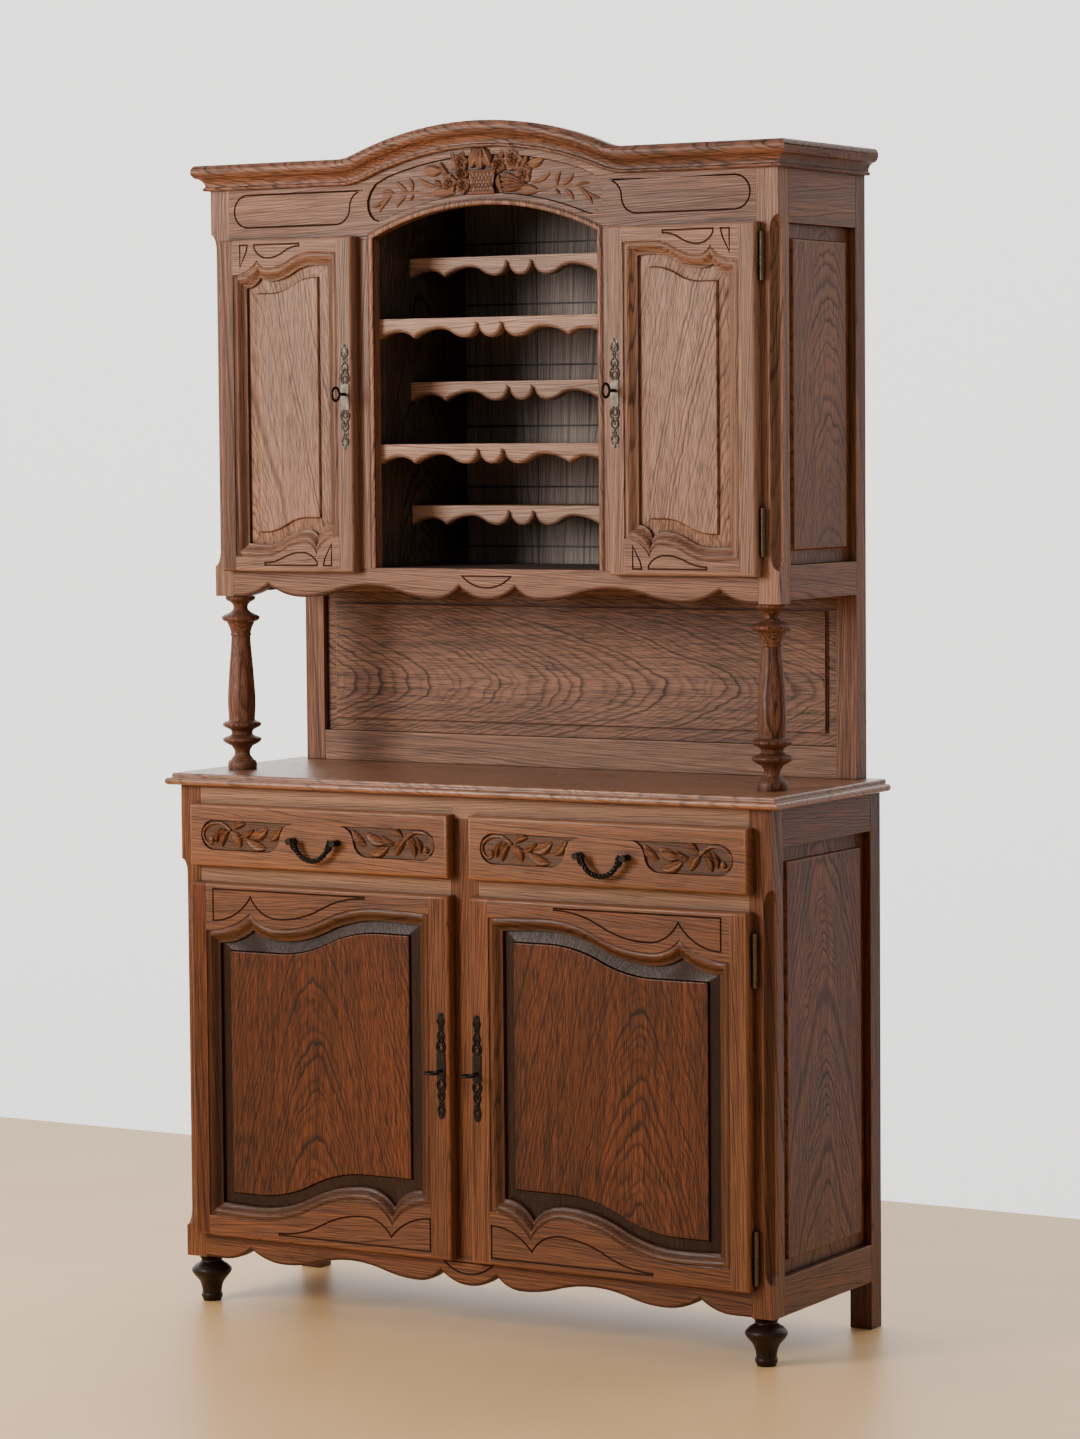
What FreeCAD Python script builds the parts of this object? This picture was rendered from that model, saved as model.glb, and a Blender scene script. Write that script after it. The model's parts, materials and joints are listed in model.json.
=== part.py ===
import FreeCAD, Part
import os
from types import SimpleNamespace

import Sketcher

# Two-part oak cabinet: a base with two drawers over two doors, and an upper part with two
# doors beside an open plate rack, standing on turned columns at the front and on its rear posts.
# Millimetres, +Z up, front towards -Y, origin at the middle of the footprint on the floor.

driving_sizes = {
    # Base carcass
    "carcass_depth": 422,
    "worktop_thick": 22,
    "worktop_overhang": 22,
    "worktop_step": 10,
    "worktop_nose": 13,
    "nose_round": 6,
    "step_round": 4,
    "foot_height": 88,
    "post_width": 44,
    "post_depth": 41,
    "rear_post_depth": 40,
    "centre_stile_width": 58,
    "frame_thick": 22,
    "base_apron_height": 56,
    "base_door_opening": 647,
    "mid_rail_height": 47,
    "drawer_opening": 99,
    "top_rail_height": 41,
    "lap": 8,
    # Sides
    "side_rail_thick": 25,
    "base_side_rail": 68,
    "base_side_head": 70,
    "upper_side_lift": 6,
    "upper_side_rail": 60,
    "upper_side_rise": 7,
    "panel_recess": 14,
    "panel_plate": 8,
    "panel_field": 8,
    "field_margin": 25,
    "field_splay": 3,
    # Hollow chamfers on the front corners
    "chamfer": 17,
    "chamfer_run_out": 29,
    "base_chamfer_start": 31,
    "base_chamfer_rise": 18,
    "upper_chamfer_start": 30,
    "upper_chamfer_stop": 9,
    # Boards inside
    "board_thick": 18,
    "back_thick": 12,
    "back_inset": 6,
    "cleat": 18,
    "base_shelf_rise": 326,
    "cupboard_shelf_rise": 307,
    "shelf_setback": 12,
    "runner_width": 32,
    "runner_height": 20,
    "guide_height": 30,
    # Turned feet
    "foot_inset": 33,
    "foot_toe": 17,
    "foot_ring": 20.5,
    "foot_ring_height": 14,
    "foot_bulge": 38,
    "foot_bulge_height": 57,
    "foot_neck": 20,
    "foot_neck_height": 75,
    "foot_flange": 26,
    # Turned columns
    "column_inset": 33,
    "column_base": 27,
    "column_cove": 15,
    "column_cove_height": 32,
    "column_ring": 36.5,
    "column_ring_height": 54,
    "ring_pitch": 27,
    "shaft_foot": 24,
    "shaft_belly": 26.5,
    "shaft_foot_height": 95,
    "shaft_top": 18,
    "shaft_top_height": 242,
    "collar": 22,
    "collar_height": 14,
    "cap_ring": 35,
    "cap_ring_height": 283,
    "cap_neck": 14.5,
    "cap_neck_height": 303,
    "abacus": 29,
    "cap_flare": 10,
    "abacus_height": 14,
    # Upper carcass
    "upper_inset": 26.5,
    "upper_setback": 84,
    "upper_door_opening": 276,
    "upper_apron_height": 56,
    "upper_post_width": 42,
    "upper_rear_depth": 38,
    "rack_half": 237,
    "inner_stile_width": 41,
    "upper_door_height": 598,
    "frieze_height": 101,
    "carcass_above_cornice": 36,
    "rack_spring_lift": 4,
    "rack_rise": 53,
    # Cornice
    "cornice_height": 47,
    "cornice_reach": 27,
    "cornice_bead": 7,
    "cornice_cove": 18,
    "cornice_cove_top": 23,
    "arch_half": 300,
    "arch_rise": 58,
    "arch_crown_share": 0.83,
    # Plate shelves
    "shelf_count": 5,
    "shelf_first_rise": 112,
    "shelf_pitch": 114,
    "shelf_thick": 15,
    "shelf_edge_thick": 18,
    "shelf_edge_height": 36,
    "deep_shelf_setback": 19,
    "short_shelf_setback": 126,
    "shelf_cusp_x": 26,
    "shelf_cusp_rise": 30,
    "shelf_lobe_x": 54,
    "shelf_arch_rise": 17,
    "shelf_point_from_side": 73,
    "shelf_end_from_side": 41,
    "shelf_end_rise": 12,
    # Niche behind the worktop
    "niche_setback": 37,
    "niche_rail": 57,
    "niche_thick": 20,
    # Shaped lower edges of both aprons
    "apron_rise": 22,
    "apron_cusp_x": 59,
    "apron_lobe_x": 110,
    "apron_side_lobe": 173.5,
    "apron_side_cusp": 101.5,
    "apron_block": 38.5,
    # Doors
    "door_thick": 25,
    "door_edge": 6,
    "outer_stile": 35,
    "inner_stile": 42,
    "upper_stile": 31,
    "door_mould": 24,
    "mould_depth": 13,
    "door_panel_gap": 3,
    "door_panel_thick": 7,
    "door_field": 7,
    "door_field_margin": 25,
    "base_head_plateau": 54,
    "base_head_end": 58,
    "base_head_trough": 103,
    "base_head_cusp": 85,
    "base_head_shoulder": 112,
    "base_head_plateau_x": 92,
    "base_head_trough_x": 132,
    "base_head_cusp_x": 75,
    "base_foot_plateau": 60,
    "base_foot_end": 63,
    "base_foot_trough": 117,
    "base_foot_cusp": 86,
    "base_foot_shoulder": 122,
    "base_foot_plateau_x": 83,
    "base_foot_trough_x": 123,
    "base_foot_cusp_x": 60,
    "upper_head_plateau": 50,
    "upper_head_end": 52,
    "upper_head_trough": 77,
    "upper_head_cusp": 70,
    "upper_head_shoulder": 86,
    "upper_head_plateau_x": 45,
    "upper_head_trough_x": 66,
    "upper_head_cusp_x": 37,
    "upper_foot_plateau": 54,
    "upper_foot_end": 56,
    "upper_foot_trough": 90,
    "upper_foot_cusp": 70,
    "upper_foot_shoulder": 95,
    "upper_foot_plateau_x": 45,
    "upper_foot_trough_x": 52,
    "upper_foot_cusp_x": 25,
    # Hinges
    "hinge_offset": 6,
    "hinge_forward": 8,
    "knuckle": 4.5,
    "hinge_pin": 2.5,
    "hinge_leaf": 2,
    "base_knuckle_length": 95,
    "upper_knuckle_length": 85,
    "base_hinge_from_top": 84,
    "base_hinge_from_foot": 59,
    "upper_hinge_from_top": 59,
    "upper_hinge_from_foot": 77,
    "hinge_gap": 0.3,
    "pin_clearance": 0.05,
    # Locks and keys
    "lock_width": 50,
    "lock_height": 70,
    "lock_depth": 18,
    "lock_clearance": 3,
    "bolt_length": 30,
    "bolt_height": 16,
    "bolt_thick": 6,
    "bolt_back": 7,
    "bolt_travel": 9,
    "slide_clearance": 0.2,
    "keep_depth": 12,
    "keep_clearance": 1,
    "base_lock_rise": 338,
    "upper_lock_rise": 318,
    "base_escutcheon_inset": 17,
    "upper_escutcheon_inset": 14,
    "escutcheon_length": 190,
    "escutcheon_width": 18,
    "escutcheon_waist": 11,
    "escutcheon_thick": 1.5,
    "key_shank": 3,
    "key_reach": 46,
    "key_bow": 12,
    "key_wire": 2.4,
    "key_depth": 6,
    "key_clearance": 0.4,
    # Drawers
    "drawer_side": 12,
    "drawer_bottom": 8,
    "drawer_depth": 370,
    "drawer_side_gap": 1.5,
    "drawer_head_room": 6,
    "drawer_bottom_rise": 10,
    "run_clearance": 0.3,
    "handle_pitch": 96,
    "handle_rise": 47,
    "handle_post": 6,
    "handle_reach": 22,
    "pivot_reach": 16,
    "bail_wire": 4,
    "bail_pin": 2.2,
    "bail_drop": 34,
    "bail_side_gap": 0.4,
}

doc = FreeCAD.newDocument("side_cabinet")
sheet = doc.addObject("Spreadsheet::Sheet", "sheet")


class Size:
    # A length that carries its number and the sheet expression that gives it.
    def __init__(self, value, text):
        self.value = value
        self.text = text

    def __add__(self, other):
        other = as_size(other)
        return Size(self.value + other.value, f"({self.text} + {other.text})")

    def __sub__(self, other):
        other = as_size(other)
        return Size(self.value - other.value, f"({self.text} - {other.text})")

    def __mul__(self, other):
        other = as_size(other)
        return Size(self.value * other.value, f"({self.text} * {other.text})")

    def __truediv__(self, other):
        other = as_size(other)
        return Size(self.value / other.value, f"({self.text} / {other.text})")

    def __radd__(self, other):
        return as_size(other) + self

    def __rsub__(self, other):
        return as_size(other) - self

    def __rmul__(self, other):
        return as_size(other) * self

    def __neg__(self):
        return Size(-self.value, f"(0 - {self.text})")


def as_size(number):
    if isinstance(number, Size):
        return number
    return Size(float(number), f"({number})")


def root(size):
    return Size(size.value ** 0.5, f"sqrt({size.text})")


def fill_sheet():
    named = {}
    for row, (alias, value) in enumerate(driving_sizes.items(), start=1):
        sheet.set(f"A{row}", alias)
        sheet.set(f"B{row}", str(value))
        sheet.setAlias(f"B{row}", alias)
        named[alias] = Size(float(value), f"sheet.{alias}")
    doc.recompute()
    return SimpleNamespace(**named)


s = fill_sheet()
zero = as_size(0)
near = 0.01


def bind(item, path, size):
    item.setExpression(path, as_size(size).text)


# Shapes that the pieces are made from


def board(name, x, y, z):
    # A plain board between its low and high limits along each axis.
    box = doc.addObject("Part::Box", name)
    for axis, side, (low, high) in zip("xyz", ("Length", "Width", "Height"), (x, y, z)):
        bind(box, side, as_size(high) - low)
        bind(box, "Placement.Base." + axis, low)
    return box


def rod(name, radius, length, x, y, z, axis="z"):
    # A round bar that starts at a point and runs along one axis.
    turns = {
        "x": FreeCAD.Rotation(FreeCAD.Vector(0, 1, 0), 90),
        "y": FreeCAD.Rotation(FreeCAD.Vector(1, 0, 0), -90),
        "z": FreeCAD.Rotation(),
    }
    bar = doc.addObject("Part::Cylinder", name)
    bind(bar, "Radius", radius)
    bind(bar, "Height", length)
    bar.Placement.Rotation = turns[axis]
    place(bar, x, y, z)
    return bar


def place(item, x, y, z):
    for axis, size in zip("xyz", (x, y, z)):
        bind(item, "Placement.Base." + axis, size)


def rounded_block(body, name, x, y, z, radius, picked):
    # A block added to a body, rounded along the edges whose middle points are picked.
    block = body.newObject("PartDesign::AdditiveBox", name)
    for side, (low, high) in zip(("Length", "Width", "Height"), (x, y, z)):
        bind(block, side, high - low)
    place(block, x[0], y[0], z[0])
    doc.recompute()
    edges = enumerate(block.Shape.Edges, start=1)
    fillet = body.newObject("PartDesign::Fillet", name + "_round")
    fillet.Base = (block, [f"Edge{number}" for number, edge in edges if picked(edge.CenterOfMass)])
    bind(fillet, "Radius", radius)


def fused(name, *items):
    joined = doc.addObject("Part::MultiFuse", name)
    joined.Shapes = list(items)
    joined.Refine = True
    return joined


def cut(name, base, tool):
    result = doc.addObject("Part::Cut", name)
    result.Base = base
    result.Tool = tool
    return result


def within(name, base, envelope):
    result = doc.addObject("Part::Common", name)
    result.Base = base
    result.Tool = envelope
    return result


def group(name, *items):
    gathered = doc.addObject("Part::Compound", name)
    gathered.Links = list(items)
    return gathered


def mirrored(item):
    twin = doc.addObject("Part::Mirroring", item.Name + "_twin")
    twin.Source = item
    twin.Normal = FreeCAD.Vector(1, 0, 0)
    return twin


def pair(name, item):
    return group(name, item, mirrored(item))


def vector(point):
    return FreeCAD.Vector(point[0].value, point[1].value, 0)


def plane(body, role):
    return next(item for item in body.Origin.OriginFeatures if item.Role == role)


def new_sketch(body, name, role):
    sketch = body.newObject("Sketcher::SketchObject", name)
    sketch.AttachmentSupport = [(plane(body, role), "")]
    sketch.MapMode = "FlatFace"
    return sketch


def draw(sketch, start, steps, closed=True):
    # Each step is (end,) for a straight run or (middle, end) for an arc.
    limits = []
    rules = []
    sizes = []

    def fix(number, position, point):
        for kind, size in zip(("DistanceX", "DistanceY"), point):
            sizes.append((len(rules), size))
            rules.append(Sketcher.Constraint(kind, -1, 1, number, position, size.value))

    here = tuple(as_size(value) for value in start)
    for step in steps:
        end = tuple(as_size(value) for value in step[-1])
        if len(step) == 1:
            number = sketch.addGeometry(Part.LineSegment(vector(here), vector(end)))
            first, last = 1, 2
        else:
            middle = tuple(as_size(value) for value in step[0])
            bend = (vector(middle) - vector(here)).cross(vector(end) - vector(middle)).z
            ends = (here, end) if bend > 0 else (end, here)
            number = sketch.addGeometry(Part.Arc(vector(ends[0]), vector(middle), vector(ends[1])))
            first, last = (1, 2) if bend > 0 else (2, 1)
            mark = sketch.addGeometry(Part.Point(vector(middle)), True)
            fix(mark, 1, middle)
            rules.append(Sketcher.Constraint("PointOnObject", mark, 1, number))
        fix(number, first, here)
        limits.append((number, first, last))
        here = end
    followers = limits[1:] + limits[:1] if closed else limits[1:]
    for (number, first, last), (following, opening, closing) in zip(limits, followers):
        rules.append(Sketcher.Constraint("Coincident", number, last, following, opening))
    if not closed:
        fix(limits[-1][0], limits[-1][2], here)
    sketch.addConstraint(rules)
    for index, size in sizes:
        bind(sketch, f"Constraints[{index}]", size)


def pad(body, name, sketch, length, back=True):
    feature = body.newObject("PartDesign::Pad", name)
    feature.Profile = sketch
    feature.Reversed = back
    bind(feature, "Length", length)
    return feature


def plate(name, front_y, thick, start, steps):
    # A board cut to an outline that is drawn in the front view.
    body = doc.addObject("PartDesign::Body", name)
    sketch = new_sketch(body, name + "_outline", "XZ_Plane")
    draw(sketch, start, steps)
    pad(body, name + "_pad", sketch, thick)
    bind(body, "Placement.Base.y", front_y)
    return body


def turned(name, steps):
    # A piece turned on the lathe: radius across, height up, closed along the axis.
    body = doc.addObject("PartDesign::Body", name)
    sketch = new_sketch(body, name + "_profile", "XZ_Plane")
    draw(sketch, (zero, zero), steps + [((zero, steps[-1][-1][1]),), ((zero, zero),)])
    spin = body.newObject("PartDesign::Revolution", name + "_turning")
    spin.Profile = sketch
    spin.ReferenceAxis = (sketch, ["V_Axis"])
    spin.Angle = 360
    return body


def bow(level, tip):
    # Middle of the arc that leaves one point level and ends at the other.
    run = tip[0] - level[0]
    rise = tip[1] - level[1]
    slope = rise / run
    radius = (run * run + rise * rise) / (2 * rise)
    lean = root(1 + slope * slope)
    return (level[0] + radius * slope / lean, level[1] + radius - radius / lean)


def shaped_edge(points, share=0.5):
    # Arcs through a row of points: "level" ones are crests and hollows, "tip" ones are cusps,
    # and a straight run leads to an "end".
    steps = []
    for (first_kind, first), (second_kind, second) in zip(points, points[1:]):
        if "end" in (first_kind, second_kind):
            steps.append((second,))
        elif first_kind == second_kind == "level":
            turn = tuple(a + (b - a) * share for a, b in zip(first, second))
            steps.append((bow(first, turn), turn))
            steps.append((bow(second, turn), second))
        elif first_kind == "level":
            steps.append((bow(first, second), second))
        else:
            steps.append((bow(second, first), second))
    return steps


def both_halves(points):
    # The right half of an edge, from the middle outwards, with its mirror image before it.
    left = [(kind, (-point[0], point[1])) for kind, point in reversed(points[1:])]
    return left + points


nodes = []


def node(label, item):
    item.Label = label
    nodes.append(item)
    return item


# Places that several pieces share

front = (s.door_thick + s.key_reach - s.carcass_depth) / 2
back = front + s.carcass_depth
frame_back = front + s.frame_thick
boards_front = back - s.back_inset - s.back_thick
boards_back = back - s.back_inset
upper_front = front + s.upper_setback
upper_frame_back = upper_front + s.frame_thick
rack_stile = s.rack_half + s.inner_stile_width
upper_open = rack_stile + s.upper_door_opening
upper_half = upper_open + s.upper_post_width
upper_inside = upper_half - s.side_rail_thick

base_half = upper_half + s.upper_inset
base_open = base_half - s.post_width
base_inside = base_half - s.side_rail_thick
stile_half = s.centre_stile_width / 2
divider = s.rack_half + s.board_thick

# Heights, each stacked on the one below
apron_top = s.foot_height + s.base_apron_height
mid_rail_low = apron_top + s.base_door_opening
mid_rail_high = mid_rail_low + s.mid_rail_height
top_rail_low = mid_rail_high + s.drawer_opening
base_top = top_rail_low + s.top_rail_height
worktop_height = base_top + s.worktop_thick
base_side_low = s.foot_height + s.base_side_rail
base_side_high = base_top - s.base_side_head
base_chamfer_low = apron_top + s.base_chamfer_start
base_chamfer_high = mid_rail_low + s.base_chamfer_rise
base_shelf_top = apron_top + s.base_shelf_rise
base_lock_height = apron_top + s.base_lock_rise
handle_height = mid_rail_high + s.handle_rise
neck_top = s.cap_neck_height + s.cap_flare
upper_foot = worktop_height + neck_top + s.abacus_height
upper_floor = upper_foot + s.upper_apron_height
frieze_low = upper_floor + s.upper_door_height
upper_side_foot = upper_foot + s.upper_side_lift
upper_side_low = upper_side_foot + s.upper_side_rail
upper_side_high = frieze_low + s.upper_side_rise
upper_chamfer_low = upper_floor + s.upper_chamfer_start
upper_chamfer_high = frieze_low - s.upper_chamfer_stop
cupboard_shelf_top = upper_floor + s.cupboard_shelf_rise
upper_lock_height = upper_floor + s.upper_lock_rise
shelf_first = upper_floor + s.shelf_first_rise
rack_spring = frieze_low + s.rack_spring_lift
cornice_low = frieze_low + s.frieze_height
upper_top = cornice_low + s.carcass_above_cornice
shelf_tops = [shelf_first + s.shelf_pitch * number for number in range(int(s.shelf_count.value))]


# Base carcass


def hollow_chamfer(name, x, y, low, high):
    # Round groove along a corner, run out in a rounded point at both ends.
    groove = rod(name + "_groove", s.chamfer, high - low, x, y, low)
    ends = []
    for label, z in (("low", low), ("high", high)):
        tip = doc.addObject("Part::Ellipsoid", f"{name}_{label}")
        bind(tip, "Radius1", s.chamfer_run_out)
        bind(tip, "Radius2", s.chamfer)
        bind(tip, "Radius3", s.chamfer)
        tip.Angle1 = -90
        place(tip, x, y, z)
        ends.append(tip)
    return fused(name, groove, *ends)


def base_posts():
    shape = board("base_post", (base_open, base_half), (front, front + s.post_depth),
                  (s.foot_height, base_top))
    groove = hollow_chamfer("base_chamfer", base_half, front, base_chamfer_low,
                            base_chamfer_high)
    node("base_front_posts", pair("base_front_post_pair", cut("base_post_shaped", shape, groove)))
    rear = board("base_rear_post", (base_open, base_half), (back - s.rear_post_depth, back),
                 (zero, base_top))
    node("base_rear_posts", pair("base_rear_post_pair", rear))


def apron_edge(lobe, last_x):
    # Lower edge of an apron: centre drop, cusps and broad arches, level at its ends.
    crest = lobe + s.apron_rise
    side_lobe = base_open - s.apron_side_lobe
    return [
        ("level", (zero, lobe)),
        ("tip", (s.apron_cusp_x, crest)),
        ("level", (s.apron_lobe_x, lobe)),
        ("level", ((s.apron_lobe_x + side_lobe) / 2, crest)),
        ("level", (side_lobe, lobe)),
        ("tip", (base_open - s.apron_side_cusp, crest)),
        ("level", (base_open - s.apron_block, lobe)),
        ("end", (last_x, lobe)),
    ]


def apron(name, front_y, lobe, top, half):
    points = both_halves(apron_edge(lobe, half))
    corner = points[0][1]
    steps = shaped_edge(points) + [((half, top),), ((-half, top),), (corner,)]
    return node(name, plate(name + "_board", front_y, s.frame_thick, corner, steps))


def keep_slot(name, x, front_y, height):
    # Mortise that takes the thrown bolt, in the edge of a stile.
    low = front_y + s.bolt_back - s.keep_clearance
    high = front_y + s.bolt_back + s.bolt_thick + s.keep_clearance
    reach = s.bolt_height / 2 + s.keep_clearance
    return board(name, (x - s.keep_depth, x), (low, high), (height - reach, height + reach))


def base_front_frame():
    stile = board("base_stile", (-stile_half, stile_half), (front, frame_back),
                  (apron_top, top_rail_low))
    keep = keep_slot("base_keep", stile_half, front, base_lock_height)
    node("base_centre_stile", cut("base_stile_cut", stile, pair("base_keeps", keep)))
    top = board("base_top_rail", (-base_open, base_open), (front, frame_back),
                (top_rail_low, base_top))
    middle = board("base_mid_rail", (stile_half, base_open), (front, frame_back),
                   (mid_rail_low, mid_rail_high))
    node("base_front_rails", group("base_rail_set", top, middle, mirrored(middle)))
    apron("base_apron", front, s.foot_height, apron_top, base_open)


def side_frame(name, half, inner, y_low, y_high, low, high, foot, top):
    # Two rails and a raised panel between a front and a rear post.
    rails = [
        board(name + "_low_rail", (inner, half), (y_low, y_high), (foot, low)),
        board(name + "_high_rail", (inner, half), (y_low, y_high), (high, top)),
    ]
    face = half - s.panel_recess
    flat = board(name + "_plate", (face - s.panel_plate, face), (y_low, y_high), (low, high))
    field = doc.addObject("Part::Wedge", name + "_field")
    inset = s.field_margin + s.field_splay
    bind(field, "Xmin", s.field_margin - y_high)
    bind(field, "Xmax", -y_low - s.field_margin)
    bind(field, "X2min", inset - y_high)
    bind(field, "X2max", -y_low - inset)
    bind(field, "Zmin", low + s.field_margin)
    bind(field, "Zmax", high - s.field_margin)
    bind(field, "Z2min", low + inset)
    bind(field, "Z2max", high - inset)
    bind(field, "Ymin", zero)
    bind(field, "Ymax", s.panel_field)
    field.Placement.Rotation = FreeCAD.Rotation(FreeCAD.Vector(0, 0, 1), -90)
    bind(field, "Placement.Base.x", face)
    return rails, fused(name + "_panel", flat, field)


def sides():
    rails = []
    panels = []
    frames = (
        ("base_side", base_half, base_inside, front + s.post_depth, back - s.rear_post_depth,
         base_side_low, base_side_high, s.foot_height, base_top),
        ("upper_side", upper_half, upper_inside, upper_front + s.post_depth,
         back - s.upper_rear_depth, upper_side_low, upper_side_high, upper_side_foot,
         upper_top),
    )
    for frame in frames:
        new_rails, panel = side_frame(*frame)
        for rail in new_rails:
            rails += [rail, mirrored(rail)]
        panels += [panel, mirrored(panel)]
    node("side_rails", group("side_rail_set", *rails))
    node("side_panels", group("side_panel_set", *panels))


def base_inside_boards():
    # Back boards, cupboard floor and what the drawers run on.
    lows = [s.foot_height, base_shelf_top, base_top]
    backs = [
        board(f"base_back_{index}", (-base_open, base_open), (boards_front, boards_back), (low, high))
        for index, (low, high) in enumerate(zip(lows, lows[1:]))
    ]
    node("base_back_boards", group("base_back_set", *backs))
    side_strip = (frame_back, boards_front)
    floor = board("base_floor", (-base_inside, base_inside), side_strip,
                  (apron_top - s.board_thick, apron_top))
    posts = doc.getObject("base_front_post_pair")
    rear = doc.getObject("base_rear_post_pair")
    node("base_floor_board", cut("base_floor_cut", floor, group("base_post_set", posts, rear)))
    runner_z = (mid_rail_high - s.runner_height, mid_rail_high)
    outer = board("outer_runner", (base_open - s.runner_width, base_open), side_strip, runner_z)
    centre = board("centre_runner", (-stile_half - s.runner_width, stile_half + s.runner_width),
                   side_strip, runner_z)
    guide = board("centre_guide", (-stile_half, stile_half), side_strip,
                  (mid_rail_high, mid_rail_high + s.guide_height))
    node("drawer_runners", group("runner_set", outer, mirrored(outer), centre, guide))


def worktop():
    # Board with a full round nose and a stepped, rounded upper edge at the front and the sides.
    body = doc.addObject("PartDesign::Body", "worktop_board")
    nose_top = base_top + s.worktop_nose

    def layer(name, overhang, low, high, radius, levels):
        half = base_half + overhang

        def picked(middle):
            at_level = any(abs(middle.z - level.value) < near for level in levels)
            return at_level and middle.y < back.value - near

        rounded_block(body, name, (-half, half), (front - overhang, back), (low, high), radius, picked)

    layer("worktop_nose", s.worktop_overhang, base_top, nose_top, s.nose_round, (base_top, nose_top))
    layer("worktop_step", s.worktop_overhang - s.worktop_step, nose_top, worktop_height,
          s.step_round, (worktop_height,))
    node("worktop", body)


def feet():
    half_ring = s.foot_ring_height / 2
    waist = (s.foot_ring_height + s.foot_bulge_height) / 2
    shoulder = (s.foot_bulge_height + s.foot_neck_height) / 2 + half_ring / 2
    hip = (s.foot_toe + s.foot_bulge) / 2
    collar = (s.foot_neck_height + s.foot_height) / 2
    foot = turned("front_foot", [
        ((s.foot_toe, zero),),
        ((s.foot_ring, half_ring), (s.foot_toe, s.foot_ring_height)),
        ((s.foot_ring, (s.foot_ring_height + waist) / 2), (hip, waist)),
        ((s.foot_bulge, s.foot_bulge_height), (s.foot_flange, shoulder)),
        ((s.foot_neck, s.foot_neck_height), (s.foot_neck, collar)),
        ((s.foot_flange, (collar + s.foot_height) / 2), (s.foot_flange, s.foot_height)),
    ])
    bind(foot, "Placement.Base.x", base_half - s.foot_inset)
    bind(foot, "Placement.Base.y", front + s.foot_inset)
    node("front_feet", pair("front_foot_pair", foot))


def columns():
    # Vase-shaped columns: moulded base, two rings, tapered shaft, collar and ringed cap.
    height = neck_top + s.abacus_height
    upper_ring = s.column_ring_height + s.ring_pitch
    half_ring = s.ring_pitch / 4
    base_round = s.column_cove_height / 4
    collar_foot = s.shaft_top_height + s.collar_height / 4
    collar_top = s.shaft_top_height + s.collar_height
    column = turned("column", [
        ((s.column_base, zero),),
        ((s.column_base + base_round / 4, base_round), (s.column_base, base_round * 2)),
        ((s.column_cove, s.column_cove_height), (s.column_base, s.column_ring_height - half_ring)),
        ((s.column_ring, s.column_ring_height), (s.shaft_foot, s.column_ring_height + half_ring)),
        ((s.shaft_foot, upper_ring - half_ring),),
        ((s.column_ring, upper_ring), (s.shaft_foot, upper_ring + half_ring)),
        ((s.shaft_foot, s.shaft_foot_height),),
        ((s.shaft_belly, s.shaft_foot_height + s.ring_pitch), (s.shaft_top, s.shaft_top_height)),
        ((s.collar, collar_foot),),
        ((s.collar, collar_top),),
        ((s.cap_ring, s.cap_ring_height), (s.cap_neck + base_round / 4, s.cap_neck_height - half_ring)),
        ((s.cap_neck, s.cap_neck_height), (s.collar, neck_top)),
        ((s.abacus, neck_top),),
        ((s.abacus, height),),
    ])
    place(column, upper_half - s.column_inset, upper_front + s.column_inset, worktop_height)
    node("columns", pair("column_pair", column))


# Upper carcass


def upper_posts():
    shape = board("upper_post", (upper_open, upper_half), (upper_front, upper_front + s.post_depth),
                  (upper_foot, upper_top))
    groove = hollow_chamfer("upper_chamfer", upper_half, upper_front, upper_chamfer_low,
                            upper_chamfer_high)
    post = cut("upper_post_shaped", shape, groove)
    stile = board("rack_stile", (s.rack_half, rack_stile), (upper_front, upper_frame_back),
                  (upper_floor, frieze_low))
    keep = keep_slot("upper_keep", rack_stile, upper_front, upper_lock_height)
    stile_cut = cut("rack_stile_cut", stile, keep)
    node("upper_front_stiles", group("upper_stile_set", post, mirrored(post), stile_cut,
                                     mirrored(stile_cut)))
    rear = board("upper_rear_post", (upper_open, upper_half), (back - s.upper_rear_depth, back),
                 (worktop_height, upper_top))
    node("upper_rear_posts", pair("upper_rear_post_pair", rear))


def arch_points(low, half):
    # Level end, then a reversed curve up to the crown of the arched top.
    return [
        ("level", (zero, low + s.arch_rise)),
        ("level", (s.arch_half, low)),
        ("tip", (half, low)),
    ]


def arch_steps(low, half):
    points = both_halves(arch_points(low, half))
    rise = shaped_edge(points[1:3], 1 - s.arch_crown_share)
    fall = shaped_edge(points[2:4], s.arch_crown_share)
    return points, [(points[1][1],)] + rise + fall + [(points[4][1],)]


def frieze():
    # Board under the cornice: arched on top, with the arched head of the plate rack below.
    points, steps = arch_steps(upper_top, upper_open)
    crown = (zero, rack_spring + s.rack_rise)
    spring = (s.rack_half, rack_spring)
    far_spring = (-s.rack_half, rack_spring)
    steps += [
        ((upper_open, frieze_low),),
        ((s.rack_half, frieze_low),),
        (spring,),
        (crown, far_spring),
        ((-s.rack_half, frieze_low),),
        ((-upper_open, frieze_low),),
        (points[0][1],),
    ]
    node("frieze_board", plate("frieze", upper_front, s.frame_thick, points[0][1], steps))


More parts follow.
